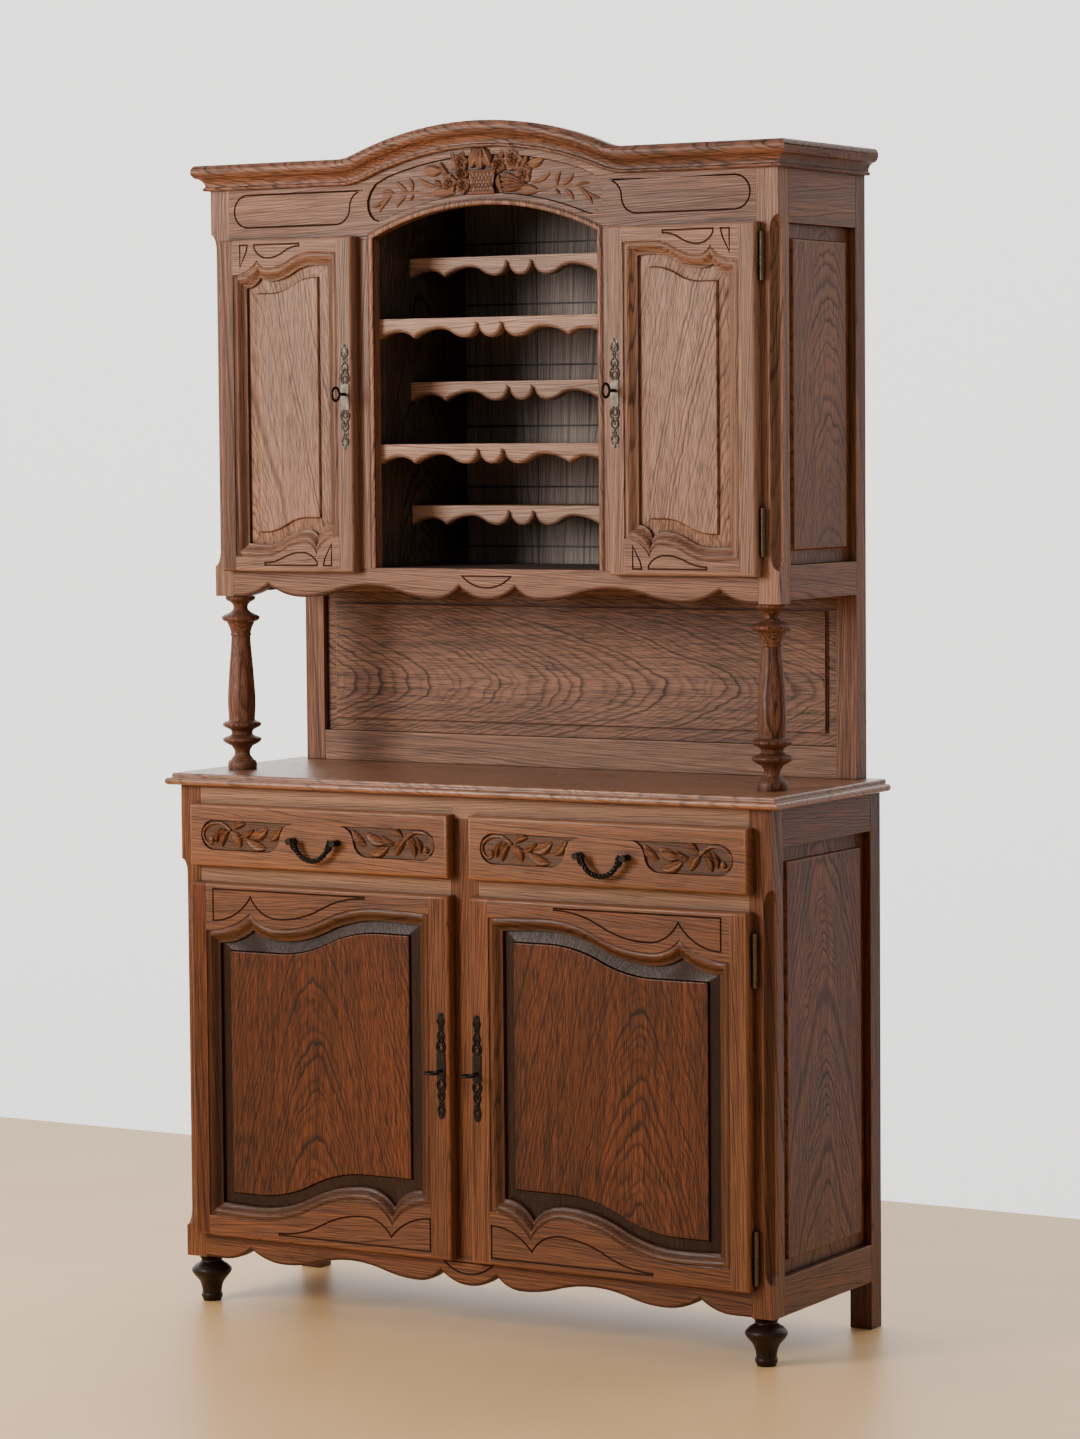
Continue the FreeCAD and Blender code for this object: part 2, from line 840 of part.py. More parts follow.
def cornice_profile(sketch, along, up):
    # Bead, cove and large roll, measured outwards from the carcass and up from its lower edge.
    half_bead = s.cornice_bead / 2
    cove_low = s.cornice_bead
    roll_low = s.cornice_cove_top
    cove_middle = (cove_low + roll_low) / 2
    roll_middle = (roll_low + s.cornice_height) / 2
    outline = [
        ((s.cornice_bead, zero),),
        ((s.cornice_bead + half_bead, half_bead), (s.cornice_bead, cove_low)),
        ((s.cornice_bead + half_bead / 2, cove_middle), (s.cornice_cove, roll_low)),
        ((s.cornice_cove + half_bead / 2, roll_low),),
        ((s.cornice_reach, roll_middle), (s.cornice_cove + half_bead, s.cornice_height)),
        ((zero, s.cornice_height),),
        ((zero, zero),),
    ]
    steps = [tuple((along(point[0]), up + point[1]) for point in step) for step in outline]
    draw(sketch, steps[-1][-1], steps)


def mitre(name, keeps_front):
    # Block whose face is the mitre at the right front corner of the cornice.
    reach = s.cornice_reach * 4
    block = doc.addObject("Part::Box", name)
    bind(block, "Length", reach * 2)
    bind(block, "Width", reach)
    bind(block, "Height", s.cornice_height * 2)
    block.Placement.Rotation = FreeCAD.Rotation(FreeCAD.Vector(0, 0, 1), -45)
    slant = root(as_size(0.5))
    shift = zero if keeps_front else reach
    place(block, upper_half - reach * slant - shift * slant,
          upper_front + reach * slant - shift * slant, cornice_low - s.cornice_height / 2)
    return block


def cornice():
    body = doc.addObject("PartDesign::Body", "cornice_front")
    path = new_sketch(body, "cornice_path", "XZ_Plane")
    end = upper_half + s.cornice_reach
    points, steps = arch_steps(cornice_low, end)
    draw(path, points[0][1], steps, closed=False)
    profile = new_sketch(body, "cornice_section", "YZ_Plane")
    bind(profile, "AttachmentOffset.Base.z", -end)
    cornice_profile(profile, lambda out: -out, cornice_low)
    sweep = body.newObject("PartDesign::AdditivePipe", "cornice_sweep")
    sweep.Profile = profile
    sweep.Spine = path
    bind(body, "Placement.Base.y", upper_front)
    right = mitre("front_mitre", True)
    front_piece = cut("cornice_front_cut", body, group("front_mitres", right, mirrored(right)))

    side = doc.addObject("PartDesign::Body", "cornice_return")
    section = new_sketch(side, "return_section", "XZ_Plane")
    cornice_profile(section, lambda out: upper_half + out, cornice_low)
    pad(side, "return_run", section, back - upper_front + s.cornice_reach)
    bind(side, "Placement.Base.y", upper_front - s.cornice_reach)
    return_piece = cut("cornice_return_cut", side, mitre("return_mitre", False))
    node("cornice", group("cornice_set", front_piece, return_piece, mirrored(return_piece)))


def upper_boards():
    floor_low = upper_floor - s.board_thick
    posts = group("upper_post_set", doc.getObject("upper_stile_set"),
                  doc.getObject("upper_rear_post_pair"))
    depth = (upper_frame_back, boards_front)
    floor = board("upper_floor_plain", (-upper_inside, upper_inside), depth, (floor_low, upper_floor))
    node("upper_bottom_board", cut("upper_floor_cut", floor, posts))
    top = board("upper_top_plain", (-upper_inside, upper_inside), depth,
                (upper_top - s.board_thick, upper_top))
    node("upper_top_board", cut("upper_top_cut", top, posts))
    wall = board("upper_divider", (s.rack_half, divider), depth, (upper_floor, upper_top - s.board_thick))
    node("upper_dividers", pair("divider_pair", wall))
    lows = [floor_low] + shelf_tops + [upper_top]
    backs = [
        board(f"upper_back_{index}", (-upper_open, upper_open), (boards_front, boards_back), (low, high))
        for index, (low, high) in enumerate(zip(lows, lows[1:]))
    ]
    node("upper_back_boards", group("upper_back_set", *backs))


def niche():
    # Frame and raised panel behind the open space over the worktop.
    face = back - s.niche_setback
    rail_back = face + s.niche_thick
    width = (-upper_open, upper_open)
    low = worktop_height + s.niche_rail
    rails = [
        board("niche_low_rail", width, (face, rail_back), (worktop_height, low)),
        board("niche_high_rail", width, (face, rail_back), (upper_foot, upper_floor - s.board_thick)),
    ]
    node("niche_rails", group("niche_rail_set", *rails))
    flat = board("niche_plate", width, (rail_back - s.panel_plate, rail_back), (low, upper_foot))
    margin = s.field_margin
    field = board("niche_field", (margin - upper_open, upper_open - margin),
                  (rail_back - s.panel_plate - s.panel_field, rail_back - s.panel_plate),
                  (low + margin, upper_foot - margin))
    node("niche_panel", fused("niche_panel_board", flat, field))


def shelf_edge(top):
    # Scalloped strip along the front of a plate shelf.
    low = top - s.shelf_edge_height
    point_x = s.rack_half - s.shelf_point_from_side
    arch_x = (s.shelf_lobe_x + point_x) / 2
    points = both_halves([
        ("level", (zero, low)),
        ("tip", (s.shelf_cusp_x, low + s.shelf_cusp_rise)),
        ("level", (s.shelf_lobe_x, low)),
        ("level", (arch_x, low + s.shelf_arch_rise)),
        ("tip", (point_x, low)),
        ("level", (s.rack_half - s.shelf_end_from_side, low + s.shelf_end_rise)),
        ("tip", (s.rack_half, low)),
    ])
    steps = shaped_edge(points)
    return points[0][1], steps + [((s.rack_half, top),), ((-s.rack_half, top),), (points[0][1],)]


def shelves():
    racks = []
    for number, top in enumerate(shelf_tops):
        setback = s.deep_shelf_setback if number % 2 else s.short_shelf_setback
        edge_y = upper_front + setback
        start, steps = shelf_edge(top)
        racks.append(plate(f"shelf_edge_{number}", edge_y, s.shelf_edge_thick, start, steps))
        racks.append(board(f"plate_shelf_{number}", (-s.rack_half, s.rack_half),
                           (edge_y + s.shelf_edge_thick, boards_front), (top - s.shelf_thick, top)))
    node("plate_shelves", group("plate_shelf_set", *racks))
    base = board("base_shelf", (-base_open, base_open),
                 (frame_back + s.lock_depth + s.shelf_setback, boards_front),
                 (base_shelf_top - s.board_thick, base_shelf_top))
    upper = board("cupboard_shelf", (divider, upper_open),
                  (upper_frame_back + s.lock_depth + s.shelf_setback, boards_front),
                  (cupboard_shelf_top - s.board_thick, cupboard_shelf_top))
    node("cupboard_shelves", group("cupboard_shelf_set", base, upper, mirrored(upper)))
    cleats = []
    for name, x, y_low, top in (
        ("base_cleat", (base_open - s.cleat, base_open), front, base_shelf_top),
        ("divider_cleat", (divider, divider + s.cleat), upper_front, cupboard_shelf_top),
        ("post_cleat", (upper_open - s.cleat, upper_open), upper_front, cupboard_shelf_top),
    ):
        under = top - s.board_thick
        bar = board(name, x, (y_low + s.post_depth - s.cleat, boards_front), (under - s.cleat, under))
        cleats += [bar, mirrored(bar)]
    node("shelf_cleats", group("cleat_set", *cleats))


# Doors



def rail_curve(name):
    # Depths of a door rail below its outer edge, and where its curve turns.
    parts = ("plateau", "end", "trough", "cusp", "shoulder", "plateau_x", "trough_x", "cusp_x")
    return SimpleNamespace(**{part: getattr(s, f"{name}_{part}") for part in parts})


base_door = SimpleNamespace(
    name="base", front=front, inner=stile_half - s.lap, outer=base_open + s.lap,
    foot=apron_top - s.lap, top=mid_rail_low + s.lap, inner_stile=s.inner_stile,
    outer_stile=s.outer_stile, head_curve=rail_curve("base_head"), foot_curve=rail_curve("base_foot"),
    knuckle_length=s.base_knuckle_length, hinge_from_top=s.base_hinge_from_top,
    hinge_from_foot=s.base_hinge_from_foot, lock_height=base_lock_height,
    escutcheon_x=stile_half - s.lap + s.base_escutcheon_inset, frame_edge=stile_half, bow_turn=90,
)
upper_door = SimpleNamespace(
    name="upper", front=upper_front, inner=rack_stile - s.lap, outer=upper_open + s.lap,
    foot=upper_floor - s.lap, top=frieze_low + s.lap, inner_stile=s.upper_stile,
    outer_stile=s.upper_stile, head_curve=rail_curve("upper_head"), foot_curve=rail_curve("upper_foot"),
    knuckle_length=s.upper_knuckle_length, hinge_from_top=s.upper_hinge_from_top,
    hinge_from_foot=s.upper_hinge_from_foot, lock_height=upper_lock_height,
    escutcheon_x=rack_stile - s.lap + s.upper_escutcheon_inset, frame_edge=rack_stile, bow_turn=0,
)


def sight_edges(door, inset):
    # Shaped opening of a door frame: its head from the inner to the outer side, then its foot from
    # the outer side back, a like curve turned half round. A positive inset makes the opening smaller.
    inner = door.inner + door.inner_stile + s.door_mould
    outer = door.outer - door.outer_stile - s.door_mould

    def edge(curve, start, finish, way):
        return [
            ("tip", (start + inset * way, curve.end)),
            ("level", (start + curve.plateau_x * way, curve.plateau)),
            ("level", (finish - curve.trough_x * way, curve.trough)),
            ("tip", (finish - curve.cusp_x * way, curve.cusp)),
            ("level", (finish - inset * way, curve.shoulder)),
        ]

    head = edge(door.head_curve, inner, outer, 1)
    foot = edge(door.foot_curve, outer, inner, -1)
    top = [(kind, (x, door.top - drop - inset)) for kind, (x, drop) in head]
    low = [(kind, (x, door.foot + drop + inset)) for kind, (x, drop) in foot]
    return top, low


def field_outline(door):
    # Raised field of a door panel: a plain reversed curve at its head and at its foot.
    margin = s.door_field_margin
    inner = door.inner + door.inner_stile + s.door_mould
    outer = door.outer - door.outer_stile - s.door_mould
    head = door.head_curve
    foot = door.foot_curve
    top_high = door.top - head.plateau - margin
    top_low = door.top - head.trough - margin
    foot_low = door.foot + foot.plateau + margin
    foot_high = door.foot + foot.trough + margin
    top = [
        ("end", (inner + margin, top_high)),
        ("level", (inner + head.plateau_x, top_high)),
        ("level", (outer - head.trough_x, top_low)),
        ("end", (outer - margin, top_low)),
    ]
    low = [
        ("end", (outer - margin, foot_low)),
        ("level", (outer - foot.plateau_x, foot_low)),
        ("level", (inner + foot.trough_x, foot_high)),
        ("end", (inner + margin, foot_high)),
    ]
    steps = shaped_edge(top) + [(low[0][1],)] + shaped_edge(low) + [(top[0][1],)]
    return top[0][1], steps


def opening_outline(door, inset):
    top, foot = sight_edges(door, inset)
    steps = shaped_edge(top) + [(foot[0][1],)] + shaped_edge(foot) + [(top[0][1],)]
    return top[0][1], steps


def door_opening(door):
    # What the splayed moulding and the sight opening take out of the frame.
    name = door.name + "_opening"
    body = doc.addObject("PartDesign::Body", name)
    wide = new_sketch(body, name + "_front", "XZ_Plane")
    draw(wide, *opening_outline(door, -s.door_mould))
    sight = new_sketch(body, name + "_sight", "XZ_Plane")
    bind(sight, "AttachmentOffset.Base.z", -s.mould_depth)
    draw(sight, *opening_outline(door, zero))
    splay = body.newObject("PartDesign::AdditiveLoft", name + "_splay")
    splay.Profile = wide
    splay.Sections = [sight]
    splay.Ruled = True
    pad(body, name + "_through", sight, s.door_thick)
    bind(body, "Placement.Base.y", door.front - s.door_thick)
    return body


def faced_block(name, x, front_y, z):
    # A board as thick as a door, rounded all round its face.
    face = front_y - s.door_thick
    body = doc.addObject("PartDesign::Body", name)
    rounded_block(body, name + "_block", x, (face, front_y), z, s.door_edge,
                  lambda middle: middle.y < face.value + near)
    return body


def door_frame(door):
    # Stiles and rails, mitred where their mouldings meet.
    top_sight, foot_sight = sight_edges(door, zero)
    top_flat, foot_flat = sight_edges(door, -s.door_mould)
    face = door.front - s.door_thick
    envelope = faced_block(door.name + "_door_limits", (door.inner, door.outer), door.front,
                           (door.foot, door.top))
    inner_line = door.inner + door.inner_stile
    outer_line = door.outer - door.outer_stile
    opening = door_opening(door)
    outlines = {
        "inner_stile": [(door.inner, door.foot), (inner_line, door.foot), foot_flat[-1][1],
                        foot_sight[-1][1], top_sight[0][1], top_flat[0][1], (inner_line, door.top),
                        (door.inner, door.top)],
        "outer_stile": [(door.outer, door.foot), (outer_line, door.foot), foot_flat[0][1],
                        foot_sight[0][1], top_sight[-1][1], top_flat[-1][1], (outer_line, door.top),
                        (door.outer, door.top)],
    }
    pieces = []
    for part, corners in outlines.items():
        name = f"{door.name}_{part}"
        steps = [(corner,) for corner in corners[1:]] + [(corners[0],)]
        solid = plate(name + "_blank", face, s.door_thick, corners[0], steps)
        pieces.append(cut(name, solid, opening))
    for part, flat, sight, edge in (
        ("top_rail", top_flat, top_sight, door.top),
        ("foot_rail", foot_flat, foot_sight, door.foot),
    ):
        name = f"{door.name}_{part}"
        start = sight[0][1]
        steps = shaped_edge(sight) + [
            (flat[-1][1],), ((flat[-1][1][0], edge),), ((flat[0][1][0], edge),), (flat[0][1],), (start,),
        ]
        solid = plate(name + "_blank", face, s.door_thick, start, steps)
        pieces.append(cut(name, solid, opening))
    key_hole = rod(door.name + "_stile_hole", s.key_shank + s.key_clearance, s.door_thick,
                   door.escutcheon_x, face, door.lock_height, "y")
    pieces[0] = cut(door.name + "_inner_stile_bored", pieces[0], key_hole)
    rounded = [within(piece.Name + "_rounded", piece, envelope) for piece in pieces]
    return group(door.name + "_frame_set", *rounded)


def door_panel(door):
    # Raised panel that fills the shaped opening.
    name = door.name + "_panel"
    body = doc.addObject("PartDesign::Body", name)
    flat = new_sketch(body, name + "_outline", "XZ_Plane")
    draw(flat, *opening_outline(door, zero))
    pad(body, name + "_plate", flat, s.door_panel_thick)
    raised = new_sketch(body, name + "_field_outline", "XZ_Plane")
    draw(raised, *field_outline(door))
    pad(body, name + "_field", raised, s.door_field, back=False)
    bind(body, "Placement.Base.y", door.front - s.door_thick + s.mould_depth + s.door_panel_gap)
    return body


def door_hinges(door):
    # Lift-off hinges: the lower half with its pin on the post, the upper half on the door.
    axis_x = door.outer + s.hinge_offset
    axis_y = door.front - s.hinge_forward
    half = door.knuckle_length / 2
    leaf_y = (axis_y - s.hinge_leaf / 2, axis_y + s.hinge_leaf / 2)
    leaf_x = (axis_x - s.hinge_leaf / 2, axis_x + s.hinge_leaf / 2)
    posts = []
    sleeves = []
    for label, height in (("low", door.foot + door.hinge_from_foot), ("high", door.top - door.hinge_from_top)):
        name = f"{door.name}_{label}"
        foot = height - half
        lower = rod(name + "_lower", s.knuckle, half, axis_x, axis_y, foot)
        pin = rod(name + "_pin", s.hinge_pin, half * 2 - s.hinge_gap, axis_x, axis_y, foot)
        leaf = board(name + "_post_leaf", leaf_x, (axis_y, door.front), (foot, height))
        posts.append(fused(name + "_post_half", lower, pin, leaf))
        above = height + s.hinge_gap
        upper = rod(name + "_upper", s.knuckle, half - s.hinge_gap, axis_x, axis_y, above)
        tongue = board(name + "_door_leaf", (door.outer, axis_x), leaf_y, (above, height + half))
        bore = rod(name + "_bore", s.hinge_pin + s.pin_clearance, half, axis_x, axis_y, height)
        sleeves.append(cut(name + "_door_half", fused(name + "_sleeve", upper, tongue), bore))
    return posts, group(door.name + "_hinge_set", *sleeves)


def door_lock(door):
    # Escutcheon on the face and lock case on the back, bored for the key and slotted for the bolt.
    face = door.front - s.door_thick
    case_x = door.frame_edge + s.lock_clearance
    half = s.lock_height / 2
    name = door.name + "_lock"
    case = board(name + "_case", (case_x, case_x + s.lock_width), (door.front, door.front + s.lock_depth),
                 (door.lock_height - half, door.lock_height + half))
    gap = s.slide_clearance
    bolt_y = (door.front + s.bolt_back, door.front + s.bolt_back + s.bolt_thick)
    reach = s.bolt_height / 2
    slot = board(name + "_slot", (case_x, case_x + s.bolt_length + gap),
                 (bolt_y[0] - gap, bolt_y[1] + gap),
                 (door.lock_height - reach - gap, door.lock_height + reach + gap))
    socket = rod(name + "_socket", s.key_shank + s.pin_clearance, s.key_depth + gap,
                 door.escutcheon_x, door.front, door.lock_height, "y")
    cut_case = cut(name + "_case_cut", case, group(name + "_cuts", slot, socket))
    centre = door.escutcheon_x
    side = s.escutcheon_width / 2
    waist = s.escutcheon_waist / 2
    tall = s.escutcheon_length / 2
    middle = door.lock_height
    shield_face = face - s.escutcheon_thick
    tip_low = (centre, middle - tall)
    tip_high = (centre, middle + tall)
    shield = plate(name + "_shield", shield_face, s.escutcheon_thick, tip_low, [
        ((centre + side, middle - tall / 2), (centre + waist, middle)),
        ((centre + side, middle + tall / 2), tip_high),
        ((centre - side, middle + tall / 2), (centre - waist, middle)),
        ((centre - side, middle - tall / 2), tip_low),
    ])
    hole = rod(name + "_shield_hole", s.key_shank + s.key_clearance, s.escutcheon_thick,
               centre, shield_face, middle, "y")
    cut_shield = cut(name + "_shield_cut", shield, hole)
    bolt = board(name + "_bolt", (case_x, case_x + s.bolt_length), bolt_y, (middle - reach, middle + reach))
    return group(name + "_set", cut_case, cut_shield), bolt


def door_key(door):
    # Round shank with a ring bow, pushed into the lock.
    name = door.name + "_key"
    tip = door.front - s.door_thick - s.key_reach
    ring_y = tip + s.key_bow + s.key_wire
    shank_front = ring_y + s.key_bow
    shank = rod(name + "_shank", s.key_shank, door.front + s.key_depth - shank_front,
                door.escutcheon_x, shank_front, door.lock_height, "y")
    ring = doc.addObject("Part::Torus", name + "_ring")
    bind(ring, "Radius1", s.key_bow)
    bind(ring, "Radius2", s.key_wire)
    ring.Placement.Rotation = FreeCAD.Rotation(FreeCAD.Vector(0, 1, 0), 90 - door.bow_turn)
    place(ring, door.escutcheon_x, ring_y, door.lock_height)
    return fused(name, shank, ring)


def doors():
    pins = []
    for door in (base_door, upper_door):
        frame = door_frame(door)
        panel = door_panel(door)
        posts, sleeves = door_hinges(door)
        lock, bolt = door_lock(door)
        key = door_key(door)
        for part, item in (("frame", frame), ("panel", panel), ("hinges", sleeves), ("lock", lock),
                           ("bolt", bolt), ("key", key)):
            node(f"right_{door.name}_door_{part}", item)
            node(f"left_{door.name}_door_{part}", mirrored(item))
        for post in posts:
            pins += [post, mirrored(post)]
    node("hinge_pins", group("hinge_pin_set", *pins))


# Drawers


def drawers():
    inner = stile_half - s.lap
    outer = base_open + s.lap
    face = front - s.door_thick
    low = mid_rail_high - s.lap
    high = top_rail_low + s.lap
    panel = faced_block("drawer_front_board", (inner, outer), front, (low, high))
    box_in = stile_half + s.drawer_side_gap
    box_out = base_open - s.drawer_side_gap
    box_low = mid_rail_high + s.run_clearance
    box_high = top_rail_low - s.drawer_head_room
    box_back = front + s.drawer_depth
    height = (box_low, box_high)
    bottom_z = (box_low + s.drawer_bottom_rise, box_low + s.drawer_bottom_rise + s.drawer_bottom)
    inside = (box_in + s.drawer_side, box_out - s.drawer_side)
    pieces = [
        board("drawer_inner_side", (box_in, box_in + s.drawer_side), (front, box_back), height),
        board("drawer_outer_side", (box_out - s.drawer_side, box_out), (front, box_back), height),
        board("drawer_back", inside, (box_back - s.drawer_side, box_back), height),
        board("drawer_bottom_board", inside, (front, box_back - s.drawer_side), bottom_z),
    ]
    centre = (inner + outer) / 2
    half = s.handle_pitch / 2
    pivot_y = face - s.pivot_reach
    pin_length = s.handle_post - s.bail_wire / 2
    ears = []
    for label, side in (("inner", -1), ("outer", 1)):
        ear_x = centre + half * side
        ear = rod(f"handle_{label}_ear", s.handle_post, s.handle_reach, ear_x, face - s.handle_reach,
                  handle_height, "y")
        bore = rod(f"handle_{label}_bore", s.bail_pin + s.pin_clearance, s.handle_post * 2,
                   ear_x - s.handle_post, pivot_y, handle_height, "x")
        ears.append(cut(f"handle_{label}_post", ear, bore))
    bail = drawer_bail(centre, half - s.handle_post - s.bail_side_gap - s.bail_wire, pivot_y,
                       half + pin_length)
    for part, item in (("front", panel), ("box", group("drawer_box_set", *pieces)),
                       ("handle_posts", group("handle_post_set", *ears)), ("bail", bail)):
        node(f"right_drawer_{part}", item)
        node(f"left_drawer_{part}", mirrored(item))


def drawer_bail(centre, half, pivot_y, pin_reach):
    # Round bail that hangs from two pins turned into the posts.
    body = doc.addObject("PartDesign::Body", "bail_wire")
    path = new_sketch(body, "bail_path", "XZ_Plane")
    start = (centre - half, handle_height)
    end = (centre + half, handle_height)
    draw(path, start, [((centre, handle_height - s.bail_drop), end)], closed=False)
    section = new_sketch(body, "bail_section", "XY_Plane")
    circle = section.addGeometry(Part.Circle(vector((centre - half, zero)), FreeCAD.Vector(0, 0, 1),
                                             s.bail_wire.value))
    section.addConstraint([
        Sketcher.Constraint("Radius", circle, s.bail_wire.value),
        Sketcher.Constraint("DistanceX", -1, 1, circle, 3, (centre - half).value),
        Sketcher.Constraint("DistanceY", -1, 1, circle, 3, 0.0),
    ])
    bind(section, "Constraints[0]", s.bail_wire)
    bind(section, "Constraints[1]", centre - half)
    bind(section, "AttachmentOffset.Base.z", handle_height)
    sweep = body.newObject("PartDesign::AdditivePipe", "bail_sweep")
    sweep.Profile = section
    sweep.Spine = path
    bind(body, "Placement.Base.y", pivot_y)
    pins = []
    for label, low, high in (("inner", centre - pin_reach, centre - half),
                             ("outer", centre + half, centre + pin_reach)):
        pins.append(rod(f"bail_{label}_pin", s.bail_pin, high - low, low, pivot_y, handle_height, "x"))
    return fused("bail", body, *pins)


# Building order

base_posts()
base_front_frame()
sides()
base_inside_boards()
worktop()
feet()
columns()
upper_posts()
frieze()
apron("upper_apron", upper_front, upper_foot, upper_floor, upper_open)
cornice()
upper_boards()
niche()
shelves()
doors()
drawers()

doc.recompute()

failed = [item.Label for item in doc.Objects if {"Invalid", "Error"} & set(item.State)]
failed += [item.Label for item in nodes if item.Shape.isNull() or not item.Shape.isValid()]
if failed:
    raise RuntimeError("not built: " + ", ".join(failed))

os.makedirs("parts", exist_ok=True)
for item in nodes:
    item.Shape.exportStep(os.path.join("parts", item.Label + ".step"))
print(len(nodes), "nodes written")
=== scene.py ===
import json
import math
import random

import bmesh
import bpy
from mathutils import Matrix, Vector

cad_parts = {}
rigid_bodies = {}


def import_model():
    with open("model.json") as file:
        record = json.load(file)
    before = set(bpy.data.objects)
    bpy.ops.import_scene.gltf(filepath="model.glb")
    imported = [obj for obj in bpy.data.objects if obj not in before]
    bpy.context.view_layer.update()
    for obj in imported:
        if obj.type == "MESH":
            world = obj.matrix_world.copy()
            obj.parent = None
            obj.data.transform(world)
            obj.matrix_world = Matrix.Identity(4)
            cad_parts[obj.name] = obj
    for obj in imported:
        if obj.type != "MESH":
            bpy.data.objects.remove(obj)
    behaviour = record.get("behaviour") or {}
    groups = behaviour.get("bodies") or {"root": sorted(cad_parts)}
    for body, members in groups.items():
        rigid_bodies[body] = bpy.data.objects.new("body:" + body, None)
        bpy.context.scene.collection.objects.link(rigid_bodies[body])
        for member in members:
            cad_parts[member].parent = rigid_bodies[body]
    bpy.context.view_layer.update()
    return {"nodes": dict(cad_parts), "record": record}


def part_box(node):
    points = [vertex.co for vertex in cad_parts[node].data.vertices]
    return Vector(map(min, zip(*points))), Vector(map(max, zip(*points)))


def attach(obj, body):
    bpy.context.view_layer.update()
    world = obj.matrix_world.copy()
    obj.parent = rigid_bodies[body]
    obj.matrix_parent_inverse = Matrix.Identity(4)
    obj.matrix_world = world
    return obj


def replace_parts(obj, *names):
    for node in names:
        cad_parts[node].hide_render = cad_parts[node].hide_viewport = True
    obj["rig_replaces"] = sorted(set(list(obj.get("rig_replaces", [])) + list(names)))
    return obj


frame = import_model()
print("frame loaded:", len(frame["nodes"]), "CAD nodes")

# Shapes are drawn in millimetres in the part's frame, and scaled to metres when a piece is finished
mm = 0.001
chance = random.Random(23)  # seeded, so every run saws the same boards

slotOf = {part["node"]: part["material_slot"] for part in frame["record"]["subparts"]}
bodyOf = {node: body for body, nodes in frame["record"]["behaviour"]["bodies"].items() for node in nodes}


# Materials

def linear(hexColour):
    channels = [int(hexColour[start:start + 2], 16) / 255 for start in (1, 3, 5)]
    return [c / 12.92 if c <= 0.04045 else ((c + 0.055) / 1.055) ** 2.4 for c in channels] + [1]


def setInputs(tree, node, inputs):
    for socket, value in inputs.items():
        if isinstance(value, bpy.types.NodeSocket):
            tree.links.new(value, node.inputs[socket])
        else:
            node.inputs[socket].default_value = value


def addNode(tree, kind, inputs=None, out=0, **settings):
    node = tree.nodes.new("ShaderNode" + kind)
    for name, value in settings.items():
        setattr(node, name, value)
    setInputs(tree, node, inputs or {})
    return node.outputs[out]


def setStops(ramp, stops):
    elements = ramp.node.color_ramp.elements
    while len(elements) < len(stops):
        elements.new(1)
    for element, (place, grey) in zip(elements, stops):
        element.position = place
        element.color = (grey, grey, grey, 1)
    return ramp


def newMaterial(name):
    material = bpy.data.materials.new(name)
    material.use_nodes = True
    return material, material.node_tree, material.node_tree.nodes["Principled BSDF"]


